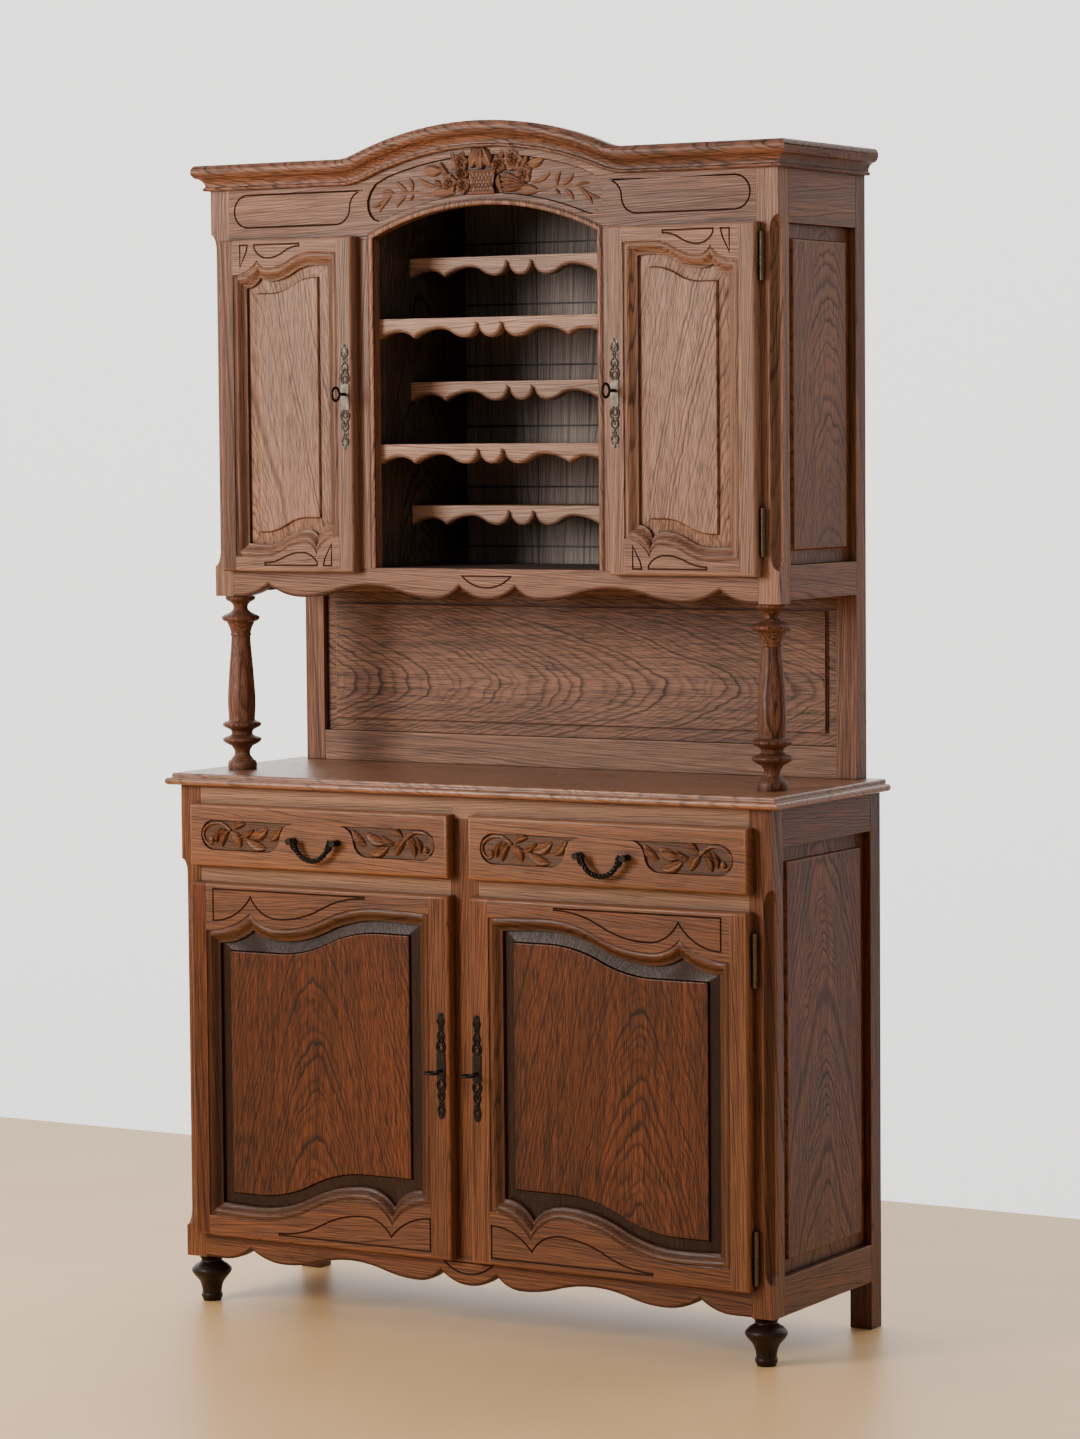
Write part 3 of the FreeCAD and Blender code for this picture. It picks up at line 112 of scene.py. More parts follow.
def waxedOak(name, look):
    # Stained and waxed oak: thin dark pore lines along the year rings, some years strong and some faint,
    # long streaks, dark wax and painted shade in the hollows, and rubbed edges, some with a painted
    # highlight.
    # Each board carries its place in the log in the "wood" attribute, in millimetres, with the grain along
    # the third coordinate, and its depth of stain in "stain". Real pores are 0.3 mm wide: they are drawn
    # 1.6 mm wide, so that they show.
    material, tree, shader = newMaterial(name)
    wood = addNode(tree, "Attribute", attribute_name="wood", out="Vector")

    def grainNoise(across, along, detail):
        size = (1 / across, 1 / across, 1 / along)
        scaled = addNode(tree, "VectorMath", {0: wood, 1: size}, operation="MULTIPLY")
        return addNode(tree, "TexNoise", {"Vector": scaled, "Scale": 1, "Detail": detail}, out="Fac")

    crossCut = addNode(tree, "VectorMath", {0: wood, 1: (1, 1, 0)}, operation="MULTIPLY")
    place = addNode(tree, "VectorMath", {0: crossCut}, operation="LENGTH", out="Value")
    along = addNode(tree, "SeparateXYZ", {0: wood}, out="Z")
    bends = [(along, look["taper"]), (grainNoise(85, 420, 1), look["sway"]),
             (grainNoise(20, 46, 1), look["flame"]), (grainNoise(6, 30, 1), look["ragged"])]
    for source, amount in bends:
        place = addNode(tree, "Math", {0: source, 1: amount, 2: place}, operation="MULTIPLY_ADD")
    # Good and poor years, in groups about 40 mm thick
    years = addNode(tree, "Math", {0: place, 1: 1 / 40}, operation="MULTIPLY")
    years = addNode(tree, "TexNoise", {"W": years, "Scale": 1, "Detail": 1},
                    noise_dimensions="1D", out="Fac")
    place = addNode(tree, "Math", {0: years, 1: 4 * look["ring"], 2: place},
                    operation="MULTIPLY_ADD")
    rings = addNode(tree, "Math", {0: place, 1: 1 / look["ring"]}, operation="MULTIPLY")
    phase = addNode(tree, "Math", {0: rings}, operation="FRACT")
    number = addNode(tree, "Math", {0: rings}, operation="FLOOR")
    strength = addNode(tree, "TexWhiteNoise", {"W": number}, noise_dimensions="1D", out="Value")
    strength = addNode(tree, "MapRange", {0: strength, 1: 0, 2: 1, 3: 0.25, 4: 1})
    band = setStops(addNode(tree, "ValToRGB", {"Fac": phase}),
                    [(0, 0.5), (0.06, 1), (0.17, 0.88), (0.34, 0.22), (0.65, 0), (0.93, 0.06), (1, 0.5)])
    band = addNode(tree, "Math", {0: band, 1: strength}, operation="MULTIPLY")
    grains = [((1.6, 38, 1), [(0.36, 0), (0.52, 1)]), ((6, 300, 3), [(0.3, 0.7), (0.7, 1.2)]),
              ((190, 520, 2), [(0.3, 0.78), (0.7, 1.2)])]
    pores, streaks, clouds = [setStops(addNode(tree, "ValToRGB", {"Fac": grainNoise(*size)}), stops)
                              for size, stops in grains]

    colour = addNode(tree, "Mix", {0: band, 6: linear(look["light"]), 7: linear(look["dark"])},
                     data_type="RGBA", out=2)
    for layer, amount in ((pores, look["pores"]), (streaks, 1), (clouds, 1)):
        colour = addNode(tree, "Mix", {0: amount, 6: colour, 7: layer}, data_type="RGBA",
                         blend_type="MULTIPLY", out=2)
    # Dark wax and painted shade lie in the hollows and where a piece is marked dark; rubbed wood and
    # painted highlights show where it is marked pale
    # Painted shade: ambient occlusion darkens the hollows, standing in for the shade that falls there
    hollow = addNode(tree, "AmbientOcclusion", {"Distance": 0.016}, samples=6, out="AO")
    hollow = addNode(tree, "MapRange", {0: hollow, 1: 0.2, 2: 0.8, 3: look["waxAndShade"], 4: 0})
    mark = addNode(tree, "Attribute", attribute_name="patina", out="Fac")
    wornAndHighlight = addNode(tree, "MapRange", {0: mark, 1: 0, 2: -1, 3: 0, 4: 1})
    waxed = addNode(tree, "MapRange", {0: mark, 1: 0, 2: 1, 3: 0, 4: 1})
    # Dark wax and painted shade: the darker of the mark and the hollow
    waxed = addNode(tree, "Math", {0: waxed, 1: hollow}, operation="MAXIMUM")
    for amount, shade in ((wornAndHighlight, look["wornAndHighlight"]), (waxed, look["shade"])):
        colour = addNode(tree, "Mix", {0: amount, 6: colour, 7: linear(shade)}, data_type="RGBA", out=2)
    # A deeper stain darkens a board and makes it redder
    stain = addNode(tree, "Attribute", attribute_name="stain", out="Fac")
    colour = addNode(tree, "Gamma", {"Color": colour, "Gamma": stain})

    gloss = addNode(tree, "MapRange", {0: band, 1: 0, 2: 1, 3: look["rough"], 4: look["rough"] + 0.14})
    relief = addNode(tree, "Math", {0: pores, 1: band}, operation="SUBTRACT")
    bump = addNode(tree, "Bump", {"Strength": 0.35, "Distance": 0.0004, "Height": relief})
    setInputs(tree, shader, {"Base Color": colour, "Roughness": gloss, "Normal": bump,
                             "Specular IOR Level": look["sheen"], "Coat Weight": look["coat"],
                             "Coat Roughness": 0.28})
    return material


def oldMetal(name, look):
    # Cast and hand-finished metal: uneven tone, dark oxide and painted shade in the hollows, bright where
    # fingers rub it
    material, tree, shader = newMaterial(name)
    place = addNode(tree, "TexCoord", out="Object")
    tone = addNode(tree, "TexNoise", {"Vector": place, "Scale": 1 / (9 * mm), "Detail": 3}, out="Fac")
    grit = addNode(tree, "TexNoise", {"Vector": place, "Scale": 1 / (1.2 * mm), "Detail": 2}, out="Fac")
    colour = addNode(tree, "Mix", {0: tone, 6: linear(look["dark"]), 7: linear(look["light"])},
                     data_type="RGBA", out=2)
    # Painted shade with dark oxide: ambient occlusion darkens the hollows
    hollow = addNode(tree, "AmbientOcclusion", {"Distance": 0.005}, samples=6, out="AO")
    hollow = addNode(tree, "MapRange", {0: hollow, 1: 0.3, 2: 0.85, 3: 0.12, 4: 1})
    colour = addNode(tree, "Mix", {0: 1.0, 6: colour, 7: hollow}, data_type="RGBA",
                     blend_type="MULTIPLY", out=2)
    gloss = addNode(tree, "MapRange", {0: tone, 1: 0.3, 2: 0.7, 3: look["rough"] + 0.12, 4: look["rough"]})
    bump = addNode(tree, "Bump", {"Strength": 0.35, "Distance": 0.0004, "Height": grit})
    setInputs(tree, shader, {"Base Color": colour, "Roughness": gloss, "Normal": bump,
                             "Metallic": look["metal"]})
    return material


# Figure of a sawn board: width of a year, taper of the log, then how far its lines sway and ripple
oakFigure = {"ring": 7, "taper": 0.2, "sway": 30, "flame": 8, "ragged": 1.8}
finishes = {
    "oak_base": waxedOak("waxed oak, chestnut stain", {
        "light": "#8c5c3e", "dark": "#432414", "wornAndHighlight": "#a5724f", "shade": "#28140c",
        **oakFigure, "taper": 0.26,
        "pores": 0.6, "waxAndShade": 0.85, "rough": 0.36, "sheen": 0.26, "coat": 0.06}),
    "oak_upper": waxedOak("waxed oak, faded stain", {
        "light": "#976d58", "dark": "#462d22", "wornAndHighlight": "#ab8875", "shade": "#2b1810",
        **oakFigure, "ring": 6, "taper": 0.22, "sway": 26, "flame": 7,
        "pores": 0.6, "waxAndShade": 0.78, "rough": 0.42, "sheen": 0.25, "coat": 0.04}),
    "oak_worktop": waxedOak("polished oak board", {
        "light": "#9b674b", "dark": "#522f1e", "wornAndHighlight": "#9c6d4e", "shade": "#2f170d",
        **oakFigure, "pores": 0.4, "waxAndShade": 0.6, "rough": 0.3, "sheen": 0.45, "coat": 0.2}),
    "oak_inside": waxedOak("smoked oak, unpolished", {
        "light": "#7b6e66", "dark": "#40372f", "wornAndHighlight": "#5b4a40", "shade": "#120b08",
        **oakFigure, "pores": 0.5, "waxAndShade": 0.6, "rough": 0.5, "sheen": 0.4, "coat": 0}),
    "oak_feet": waxedOak("turned oak, dark polish", {
        "light": "#27140b", "dark": "#110804", "wornAndHighlight": "#4f2f1e", "shade": "#0f0604",
        **oakFigure, "ring": 6, "taper": 0.1, "sway": 20, "flame": 6,
        "pores": 0.4, "waxAndShade": 0.8, "rough": 0.34, "sheen": 0.2, "coat": 0.08}),
    "iron": oldMetal("blackened iron", {
        "light": "#332e2a", "dark": "#141110", "rough": 0.36, "metal": 0.8}),
    "pewter": oldMetal("dull pewter", {
        "light": "#766e68", "dark": "#443e39", "rough": 0.44, "metal": 0.85}),
    "hinge_brass": oldMetal("aged brass", {
        "light": "#75664f", "dark": "#3d3324", "rough": 0.36, "metal": 0.9}),
}
print("materials ready:", len(finishes))


# Boards and meshes

def addObject(name, data):
    made = bpy.data.objects.new(name, data)
    bpy.context.scene.collection.objects.link(made)
    return made


def startMesh(node=None):
    bm = bmesh.new()
    if node:
        bm.from_mesh(frame["nodes"][node].data)
        bmesh.ops.scale(bm, vec=(1 / mm, 1 / mm, 1 / mm), verts=bm.verts)
        bmesh.ops.remove_doubles(bm, verts=bm.verts, dist=0.01)
    bm.loops.layers.float_vector.new("wood")
    bm.loops.layers.float.new("patina")
    bm.loops.layers.float.new("stain")
    return bm


def nodeBox(node):
    low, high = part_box(node)
    return low / mm, high / mm


def facesBox(faces):
    corners = [vert.co for face in faces for vert in face.verts]
    low = Vector([min(co[axis] for co in corners) for axis in range(3)])
    high = Vector([max(co[axis] for co in corners) for axis in range(3)])
    return low, high


# How boards are cut from a log, in millimetres, and how far their stain differs
sawSettings = {"wideFrom": 170, "nearHeart": 0.14, "besideHeart": (110, 220), "fineGrain": (1.6, 1.6, 0.4),
               "depth": (40, 80), "logLength": 3000, "stainSpread": (0.96, 1.04)}


def sawBoard(low, high, along=None, stain=1.0, heart=None):
    # Where a board lay in its log: a wide one is sawn near the heart and shows arches, a narrow one
    # is sawn from slow-grown wood and shows fine straight lines
    look = sawSettings
    size = high - low
    if along is None:
        along = max(range(3), key=lambda axis: size[axis])
    wide, thin = sorted((axis for axis in range(3) if axis != along), key=lambda axis: -size[axis])
    middle = (low[wide] + high[wide]) / 2
    if size[wide] > look["wideFrom"]:
        stretch = Vector((1, 1, 1))
        found = chance.uniform(-look["nearHeart"], look["nearHeart"]) * size[wide]
    else:
        stretch = Vector(look["fineGrain"])
        found = chance.choice((-1, 1)) * chance.uniform(*look["besideHeart"])
    across = (found if heart is None else heart) - middle * stretch.x
    depth = chance.uniform(*look["depth"]) - low[thin] * stretch.y
    shift = Vector((across, depth, chance.uniform(0, look["logLength"])))
    return {"order": (wide, thin, along), "stretch": stretch, "shift": shift,
            "stain": stain * chance.uniform(*look["stainSpread"])}


def paint(bm, faces, board):
    wood = bm.loops.layers.float_vector["wood"]
    stain = bm.loops.layers.float["stain"]
    for face in faces:
        for loop in face.loops:
            place = Vector([loop.vert.co[axis] for axis in board["order"]])
            loop[wood] = place * board["stretch"] + board["shift"]
            loop[stain] = board["stain"]


def markPatina(bm, faces, amount):
    patina = bm.loops.layers.float["patina"]
    for face in faces:
        for loop in face.loops:
            loop[patina] = amount


def islands(bm):
    # Faces of each separate solid
    bmesh.ops.recalc_face_normals(bm, faces=bm.faces)
    for face in bm.faces:
        face.tag = False
    for seed in bm.faces:
        if seed.tag:
            continue
        seed.tag = True
        group = [seed]
        for face in group:
            for edge in face.edges:
                for other in edge.link_faces:
                    if not other.tag:
                        other.tag = True
                        group.append(other)
        yield group


def sawEach(bm, along, stain=1):
    # Each solid from a board of its own
    for group in islands(bm):
        paint(bm, group, sawBoard(*facesBox(group), along, stain))


def addBox(bm, low, high):
    verts = bmesh.ops.create_cube(bm, size=1)["verts"]
    bmesh.ops.scale(bm, vec=high - low, verts=verts)
    bmesh.ops.translate(bm, vec=(low + high) / 2, verts=verts)
    return verts


def roundEdges(bm, edges, radius, segments):
    made = bmesh.ops.bevel(bm, geom=list(edges), offset=radius, offset_type="OFFSET", affect="EDGES",
                           segments=segments, profile=0.5, material=-1, clamp_overlap=True)
    return made["faces"]


def finishPiece(bm, node, name=None, flip=False, sharpAngle=42, replaced=True, merge=True):
    # Merges, turns the faces outwards, scales to metres and puts the piece on the node's body, in most
    # cases in place of the node
    name = name or node + "_finish"
    if merge:
        bmesh.ops.remove_doubles(bm, verts=bm.verts, dist=0.004)
    bmesh.ops.scale(bm, vec=(-mm if flip else mm, mm, mm), verts=bm.verts)
    bmesh.ops.recalc_face_normals(bm, faces=bm.faces)
    mesh = bpy.data.meshes.new(name)
    bm.to_mesh(mesh)
    bm.free()
    mesh.polygons.foreach_set("use_smooth", [True] * len(mesh.polygons))
    mesh.set_sharp_from_angle(angle=math.radians(sharpAngle))
    mesh.materials.append(finishes[slotOf[node]])
    piece = addObject(name, mesh)
    piece.modifiers.new("even shading", "WEIGHTED_NORMAL").keep_sharp = True
    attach(piece, bodyOf[node])
    if replaced:
        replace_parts(piece, node)


# Depth of stain of each piece. Some depths also carry painted light and painted shade: the base's front
# rails are stained lighter as light falls on them from above, the rear posts and the sides darker as they
# stand in shade
stainAndShadeOf = {"base_apron": 1.15, "base_front_posts": 1.12, "base_centre_stile": 1.12,
           "base_front_rails": 0.74, "base_rear_posts": 1.5, "side_panels": 1.3, "side_rails": 1.3,
           "columns": 1.35, "cornice": 1.2, "niche_panel": 1.1, "upper_rear_posts": 1.15,
           "frieze_board": 1.14, "upper_apron": 1.06, "upper_dividers": 1.6, "upper_top_board": 1.6,
           "upper_bottom_board": 1.2}


softSettings = {"flatAngle": 0.8, "hardAngle": 38, "chamferDark": 0.45, "upperLighter": 0.2}


def softCopy(node, edge, rubbed):
    # The CAD solid with its edges rubbed round, each solid sawn from its own board
    look = softSettings
    bm = startMesh(node)
    flat = math.radians(look["flatAngle"])
    bmesh.ops.dissolve_limit(bm, angle_limit=flat, verts=bm.verts, edges=bm.edges)
    hard = [line for line in bm.edges
            if len(line.link_faces) == 2 and line.calc_face_angle() > math.radians(look["hardAngle"])]
    markPatina(bm, roundEdges(bm, hard, edge, 3), rubbed)
    if node in ("base_front_posts", "upper_front_stiles"):
        # The hollow chamfers are marked darker
        hollow = [face for face in bm.faces if min(abs(face.normal.x), abs(face.normal.y)) > 0.3]
        markPatina(bm, hollow, look["chamferDark"])
    for group in islands(bm):
        low, high = facesBox(group)
        stain = stainAndShadeOf.get(node, 1)
        if node in ("side_panels", "side_rails") and low.z > nodeBox("worktop")[1].z:
            stain -= look["upperLighter"]  # side boards above the worktop are stained lighter
        paint(bm, group, sawBoard(low, high, stain=stain))
    finishPiece(bm, node)


plankSettings = {"count": {"upper_back_boards": 7, "base_back_boards": 6}, "edge": 1.6, "waxAndShade": 0.5}


def plankedBack(node):
    # Upright planks side by side, with a fine groove at each joint
    look = plankSettings
    low, high = nodeBox(node)
    bm = startMesh()
    wide = (high.x - low.x) / look["count"][node]
    for number in range(look["count"][node]):
        left = Vector((low.x + number * wide, low.y, low.z))
        right = Vector((left.x + wide, high.y, high.z))
        upright = {edge for vert in addBox(bm, left, right) for edge in vert.link_edges
                   if abs(edge.verts[0].co.z - edge.verts[1].co.z) > 1}
        markPatina(bm, roundEdges(bm, upright, look["edge"], 2), look["waxAndShade"])
    sawEach(bm, 2)
    if node == "upper_back_boards":
        plateRails(bm)
    finishPiece(bm, node, merge=False)


plateRailSettings = {"half": 236, "height": 3, "proud": 1.5, "sunk": 1, "rise": 32,
                     "tops": (1383, 1495, 1609, 1723, 1837, 1951)}


def plateRails(bm):
    # Thin rails on the back of the rack, that plates lean on
    look = plateRailSettings
    half, front = look["half"], nodeBox("upper_back_boards")[0].y
    for top in look["tops"]:
        foot = top + look["rise"] - look["height"] / 2
        verts = addBox(bm, Vector((-half, front - look["proud"], foot)),
                       Vector((half, front + look["sunk"], foot + look["height"])))
        faces = {face for vert in verts for face in vert.link_faces}
        paint(bm, faces, sawBoard(*facesBox(faces)))
        # The rails are painted in the full shade colour so that they read as dark lines: painted shade
        markPatina(bm, faces, 1)


for node in plankSettings["count"]:
    plankedBack(node)
print("backs planked")


# Outlines

def bowPoints(level, tip, steps):
    # Arc that leaves the level point horizontally and ends at the tip
    run, rise = tip[0] - level[0], tip[1] - level[1]
    radius = (run * run + rise * rise) / (2 * abs(rise))
    sweep = 2 * math.atan2(abs(rise), abs(run))
    return [(level[0] + math.copysign(radius * math.sin(sweep * step / steps), run),
             level[1] + math.copysign(radius * (1 - math.cos(sweep * step / steps)), rise))
            for step in range(steps + 1)]


def shapedEdge(points, steps=10, share=0.5):
    # Arcs through crests and hollows ("level") and cusps ("tip"), straight runs to an "end"
    line = [points[0][1]]
    for (firstKind, first), (secondKind, second) in zip(points, points[1:]):
        if "end" in (firstKind, secondKind):
            run = [second]
        elif firstKind == secondKind:
            turn = tuple(a + (b - a) * share for a, b in zip(first, second))
            run = bowPoints(first, turn, steps)[1:] + bowPoints(second, turn, steps)[-2::-1]
        elif firstKind == "level":
            run = bowPoints(first, second, steps)[1:]
        else:
            run = bowPoints(second, first, steps)[-2::-1]
        line += run
    return line


def arcThrough(half, rise, base, steps):
    # Circle arc over a span about the middle, from its left end to its right end
    radius = (half * half + rise * rise) / (2 * rise)
    sweep = math.atan2(half, radius - rise)
    turns = [sweep * (2 * step / steps - 1) for step in range(steps + 1)]
    return [(radius * math.sin(turn), base + rise - radius * (1 - math.cos(turn))) for turn in turns]


def slantField(shape):
    # A field with a round end on its right and a reversed curve on its left
    x, z, radius = shape["outer"], shape["height"], shape["radius"]
    turns = [math.pi * step / shape["steps"] for step in range(shape["steps"] + 1)]
    slant = [("level", (shape["foot"], z - radius)), ("level", (shape["inner"], z + radius))]
    return ([(x + radius * math.sin(turn), z + radius * math.cos(turn)) for turn in turns]
            + shapedEdge(slant, shape["slantSteps"]))


def offsetPath(points, distance, closed=True):
    # The same path moved sideways, to the left of its direction where the distance is positive
    moved = []
    count = len(points)
    for number, point in enumerate(points):
        before = points[number - 1] if closed or number else point
        after = points[(number + 1) % count] if closed or number < count - 1 else point
        sides = []
        for start, end in ((before, point), (point, after)):
            run = Vector((end[0] - start[0], end[1] - start[1]))
            if run.length > 1e-6:
                sides.append(Vector((-run.y, run.x)).normalized())
        miter = sides[0] + sides[-1]
        miter = miter.normalized() if miter.length > 0.1 else sides[0]
        reach = distance / max(0.45, miter.dot(sides[0]))
        moved.append((point[0] + miter.x * reach, point[1] + miter.y * reach))
    return moved


def clockwise(points):
    area = sum(a[0] * b[1] - b[0] * a[1] for a, b in zip(points, points[1:] + points[:1]))
    return points if area < 0 else points[::-1]


def mirrorPath(points):
    return [(-x, z) for x, z in reversed(points)]


def addLoop(bm, points, y, closed=True):
    verts = [bm.verts.new((x, y, z)) for x, z in points]
    ends = verts[1:] + verts[:1] if closed else verts[1:]
    return [bm.edges.new(pair) for pair in zip(verts, ends)]


def fillFlat(bm, edges):
    made = bmesh.ops.triangle_fill(bm, use_beauty=True, use_dissolve=False, edges=edges)
    return [item for item in made["geom"] if isinstance(item, bmesh.types.BMFace)]


def bridgeRows(bm, rows):
    faces = []
    for first, second in zip(rows, rows[1:]):
        faces += bmesh.ops.bridge_loops(bm, edges=first + second)["faces"]
    return faces


cutShade = 0.75  # painted shade on the walls of every cut
edgeWearAndHighlight = -0.25  # pale rubbed wood and painted highlight on rounded edges


def carvedFlat(bm, outline, y, cuts):
    # A flat face with grooves and sunk fields cut into it; a cut has a path, a width, a depth and,
    # for a sunk field, the wax on its ground
    rims = [addLoop(bm, offsetPath(clockwise(cut["path"]), cut["width"] / 2), y) for cut in cuts]
    faces = fillFlat(bm, addLoop(bm, outline, y) + [edge for rim in rims for edge in rim])
    for cut, rim in zip(cuts, rims):
        path = clockwise(cut["path"])
        inner = offsetPath(path, -cut["width"] / 2)
        if cut.get("sunk"):
            floor = addLoop(bm, inner, y + cut["depth"])
            ground = fillFlat(bm, floor)
            walls = bridgeRows(bm, [rim, floor])
            markPatina(bm, ground, cut["sunk"])
        else:
            lip = addLoop(bm, inner, y)
            ground = fillFlat(bm, lip)
            walls = bridgeRows(bm, [rim, addLoop(bm, path, y + cut["depth"]), lip])
        # The walls of the cut are darkened as painted shade
        markPatina(bm, walls, cutShade)
        faces += ground + walls
    return faces


def rectangle(low, high, grow, joints):
    # Clockwise seen from the front, with extra points where boards meet along the top and the foot
    left, right = low.x - grow, high.x + grow
    foot, top = low.z - grow, high.z + grow
    return [(left, foot), (left, top), *((x, top) for x in joints), (right, top), (right, foot),
            *((x, foot) for x in reversed(joints))]


def roundedSides(bm, low, high, radius, joints):
    # The rounded front edge and the sides of a board, from its flat face to its back
    rows = []
    for step in range(5):
        turn = math.pi / 8 * step
        rows.append(addLoop(bm, rectangle(low, high, radius * (math.sin(turn) - 1), joints),
                            low.y + radius * (1 - math.cos(turn))))
    rounding = bridgeRows(bm, rows)
    # The rounding is painted pale: rubbed wood and a painted highlight
    markPatina(bm, rounding, edgeWearAndHighlight)
    rows.append(addLoop(bm, rectangle(low, high, 0, joints), high.y))
    return rounding + bridgeRows(bm, rows[-2:]), rows[-1]


# Doors

doorSettings = {
    "base": {
        "innerStile": 42, "outerStile": 35, "edge": 6, "stain": 1.14, "panelStain": 1.48,
        "panelHeart": None, "mouldWax": 0.34, "marginWax": 0.72,
        "head": {"plateau": 54, "end": 58, "trough": 103, "cusp": 85, "shoulder": 112,
                 "plateauX": 92, "troughX": 132, "cuspX": 75},
        "foot": {"plateau": 60, "end": 63, "trough": 117, "cusp": 86, "shoulder": 122,
                 "plateauX": 83, "troughX": 123, "cuspX": 60},
        "grooves": [
            [("end", (535, 788)), ("end", (200, 788)), ("level", (200, 785)), ("level", (390, 737.5)),
             ("tip", (451, 776)), ("level", (535, 729))],
            [("end", (65, 150)), ("end", (396, 150)), ("level", (396, 153)), ("level", (205, 201)),
             ("tip", (149, 169)), ("level", (65, 209))],
        ],
    },
    "upper": {
        "innerStile": 31, "outerStile": 31, "edge": 6, "stain": 1.0, "panelStain": 0.9,
        "panelHeart": -150, "mouldWax": 0.14, "marginWax": 0.05,
        "head": {"plateau": 50, "end": 52, "trough": 77, "cusp": 70, "shoulder": 89,
                 "plateauX": 32, "troughX": 54, "cuspX": 31},
        "foot": {"plateau": 50, "end": 52, "trough": 77, "cusp": 64, "shoulder": 89,
                 "plateauX": 34, "troughX": 50, "cuspX": 27},
        "grooves": [
            [("end", (514, 1979)), ("end", (497, 1979)), ("end", (500, 1966)), ("level", (514, 1938))],
            [("end", (482, 1979)), ("end", (382, 1979)), ("level", (382, 1974.5)), ("level", (452, 1954)),
             ("tip", (482, 1973))],
            [("end", (350, 1387)), ("end", (466, 1387)), ("level", (466, 1391.5)), ("level", (383, 1411)),
             ("tip", (350, 1393))],
            [("end", (318, 1387)), ("end", (336, 1387)), ("end", (333, 1400)), ("level", (318, 1427))],
        ],
    },
}
mouldWidth = 24
mitreReach = 1.35
groove = {"width": 3.4, "depth": 2.2}
# Moulding from the flat frame to the sight edge: distance out from the sight edge, depth below the face
mouldProfile = [(24, 0), (23.2, 2), (22, 2.4), (19.5, 1), (16.5, 0.4), (13.5, 1.2), (11, 3.4), (8.5, 6.6),
                (6, 9.2), (3, 10.6), (0, 11), (0, 25)]


def railLines(door, low, high, pointsOf):
    # Head and foot of a door opening, from kind, place and drop of the points along each
    inner = low.x + door["innerStile"] + mouldWidth
    outer = high.x - door["outerStile"] - mouldWidth
    lines = []
    rails = [("head", inner, outer, 1, high.z), ("foot", outer, inner, -1, low.z)]
    for name, start, finish, way, base in rails:
        points = pointsOf(door[name], start, finish, way)
        lines.append(shapedEdge([(kind, (x, base - way * drop)) for kind, x, drop in points]))
    return lines


def sightSides(door, low, high, inset):
    # Head and foot of the sight edge, made smaller by the inset; a cusp draws out where it is mitred
    def pointsOf(curve, start, finish, way):
        return [("tip", start + inset * way, curve["end"] + inset),
                ("level", start + curve["plateauX"] * way, curve["plateau"] + inset),
                ("level", finish - curve["troughX"] * way, curve["trough"] + inset),
                ("tip", finish - curve["cuspX"] * way, curve["cusp"] + inset * mitreReach),
                ("level", finish - inset * way, curve["shoulder"] + inset)]
    return railLines(door, low, high, pointsOf)


def fieldSides(door, low, high, margin):
    # Head and foot of the raised field, which has plain reversed curves
    def pointsOf(curve, start, finish, way):
        plateau, trough = curve["plateau"] + margin, curve["trough"] + margin
        return [("end", start + margin * way, plateau), ("level", start + curve["plateauX"] * way, plateau),
                ("level", finish - curve["troughX"] * way, trough), ("end", finish - margin * way, trough)]
    return railLines(door, low, high, pointsOf)


def spaced(points, count):
    # The same line with evenly spaced points
    lengths = [math.dist(a, b) for a, b in zip(points, points[1:])]
    total = sum(lengths)
    line, done, number = [], 0, 0
    for step in range(count):
        goal = total * step / (count - 1)
        while number < len(lengths) - 1 and done + lengths[number] < goal:
            done += lengths[number]
            number += 1
        share = min(1, (goal - done) / lengths[number])
        line.append(tuple(a + (b - a) * share for a, b in zip(points[number], points[number + 1])))
    return line


# The outer stile of a left door is stained darker and that of a right door lighter, as light falls across
# the doors: painted shade and painted light
frameSettings = {"railWidth": 90, "outerStileShade": {"left": 0.3, "right": -0.1}, "cornerShare": 0.17,
                 "deepFrom": 6, "deepWax": 1.6}


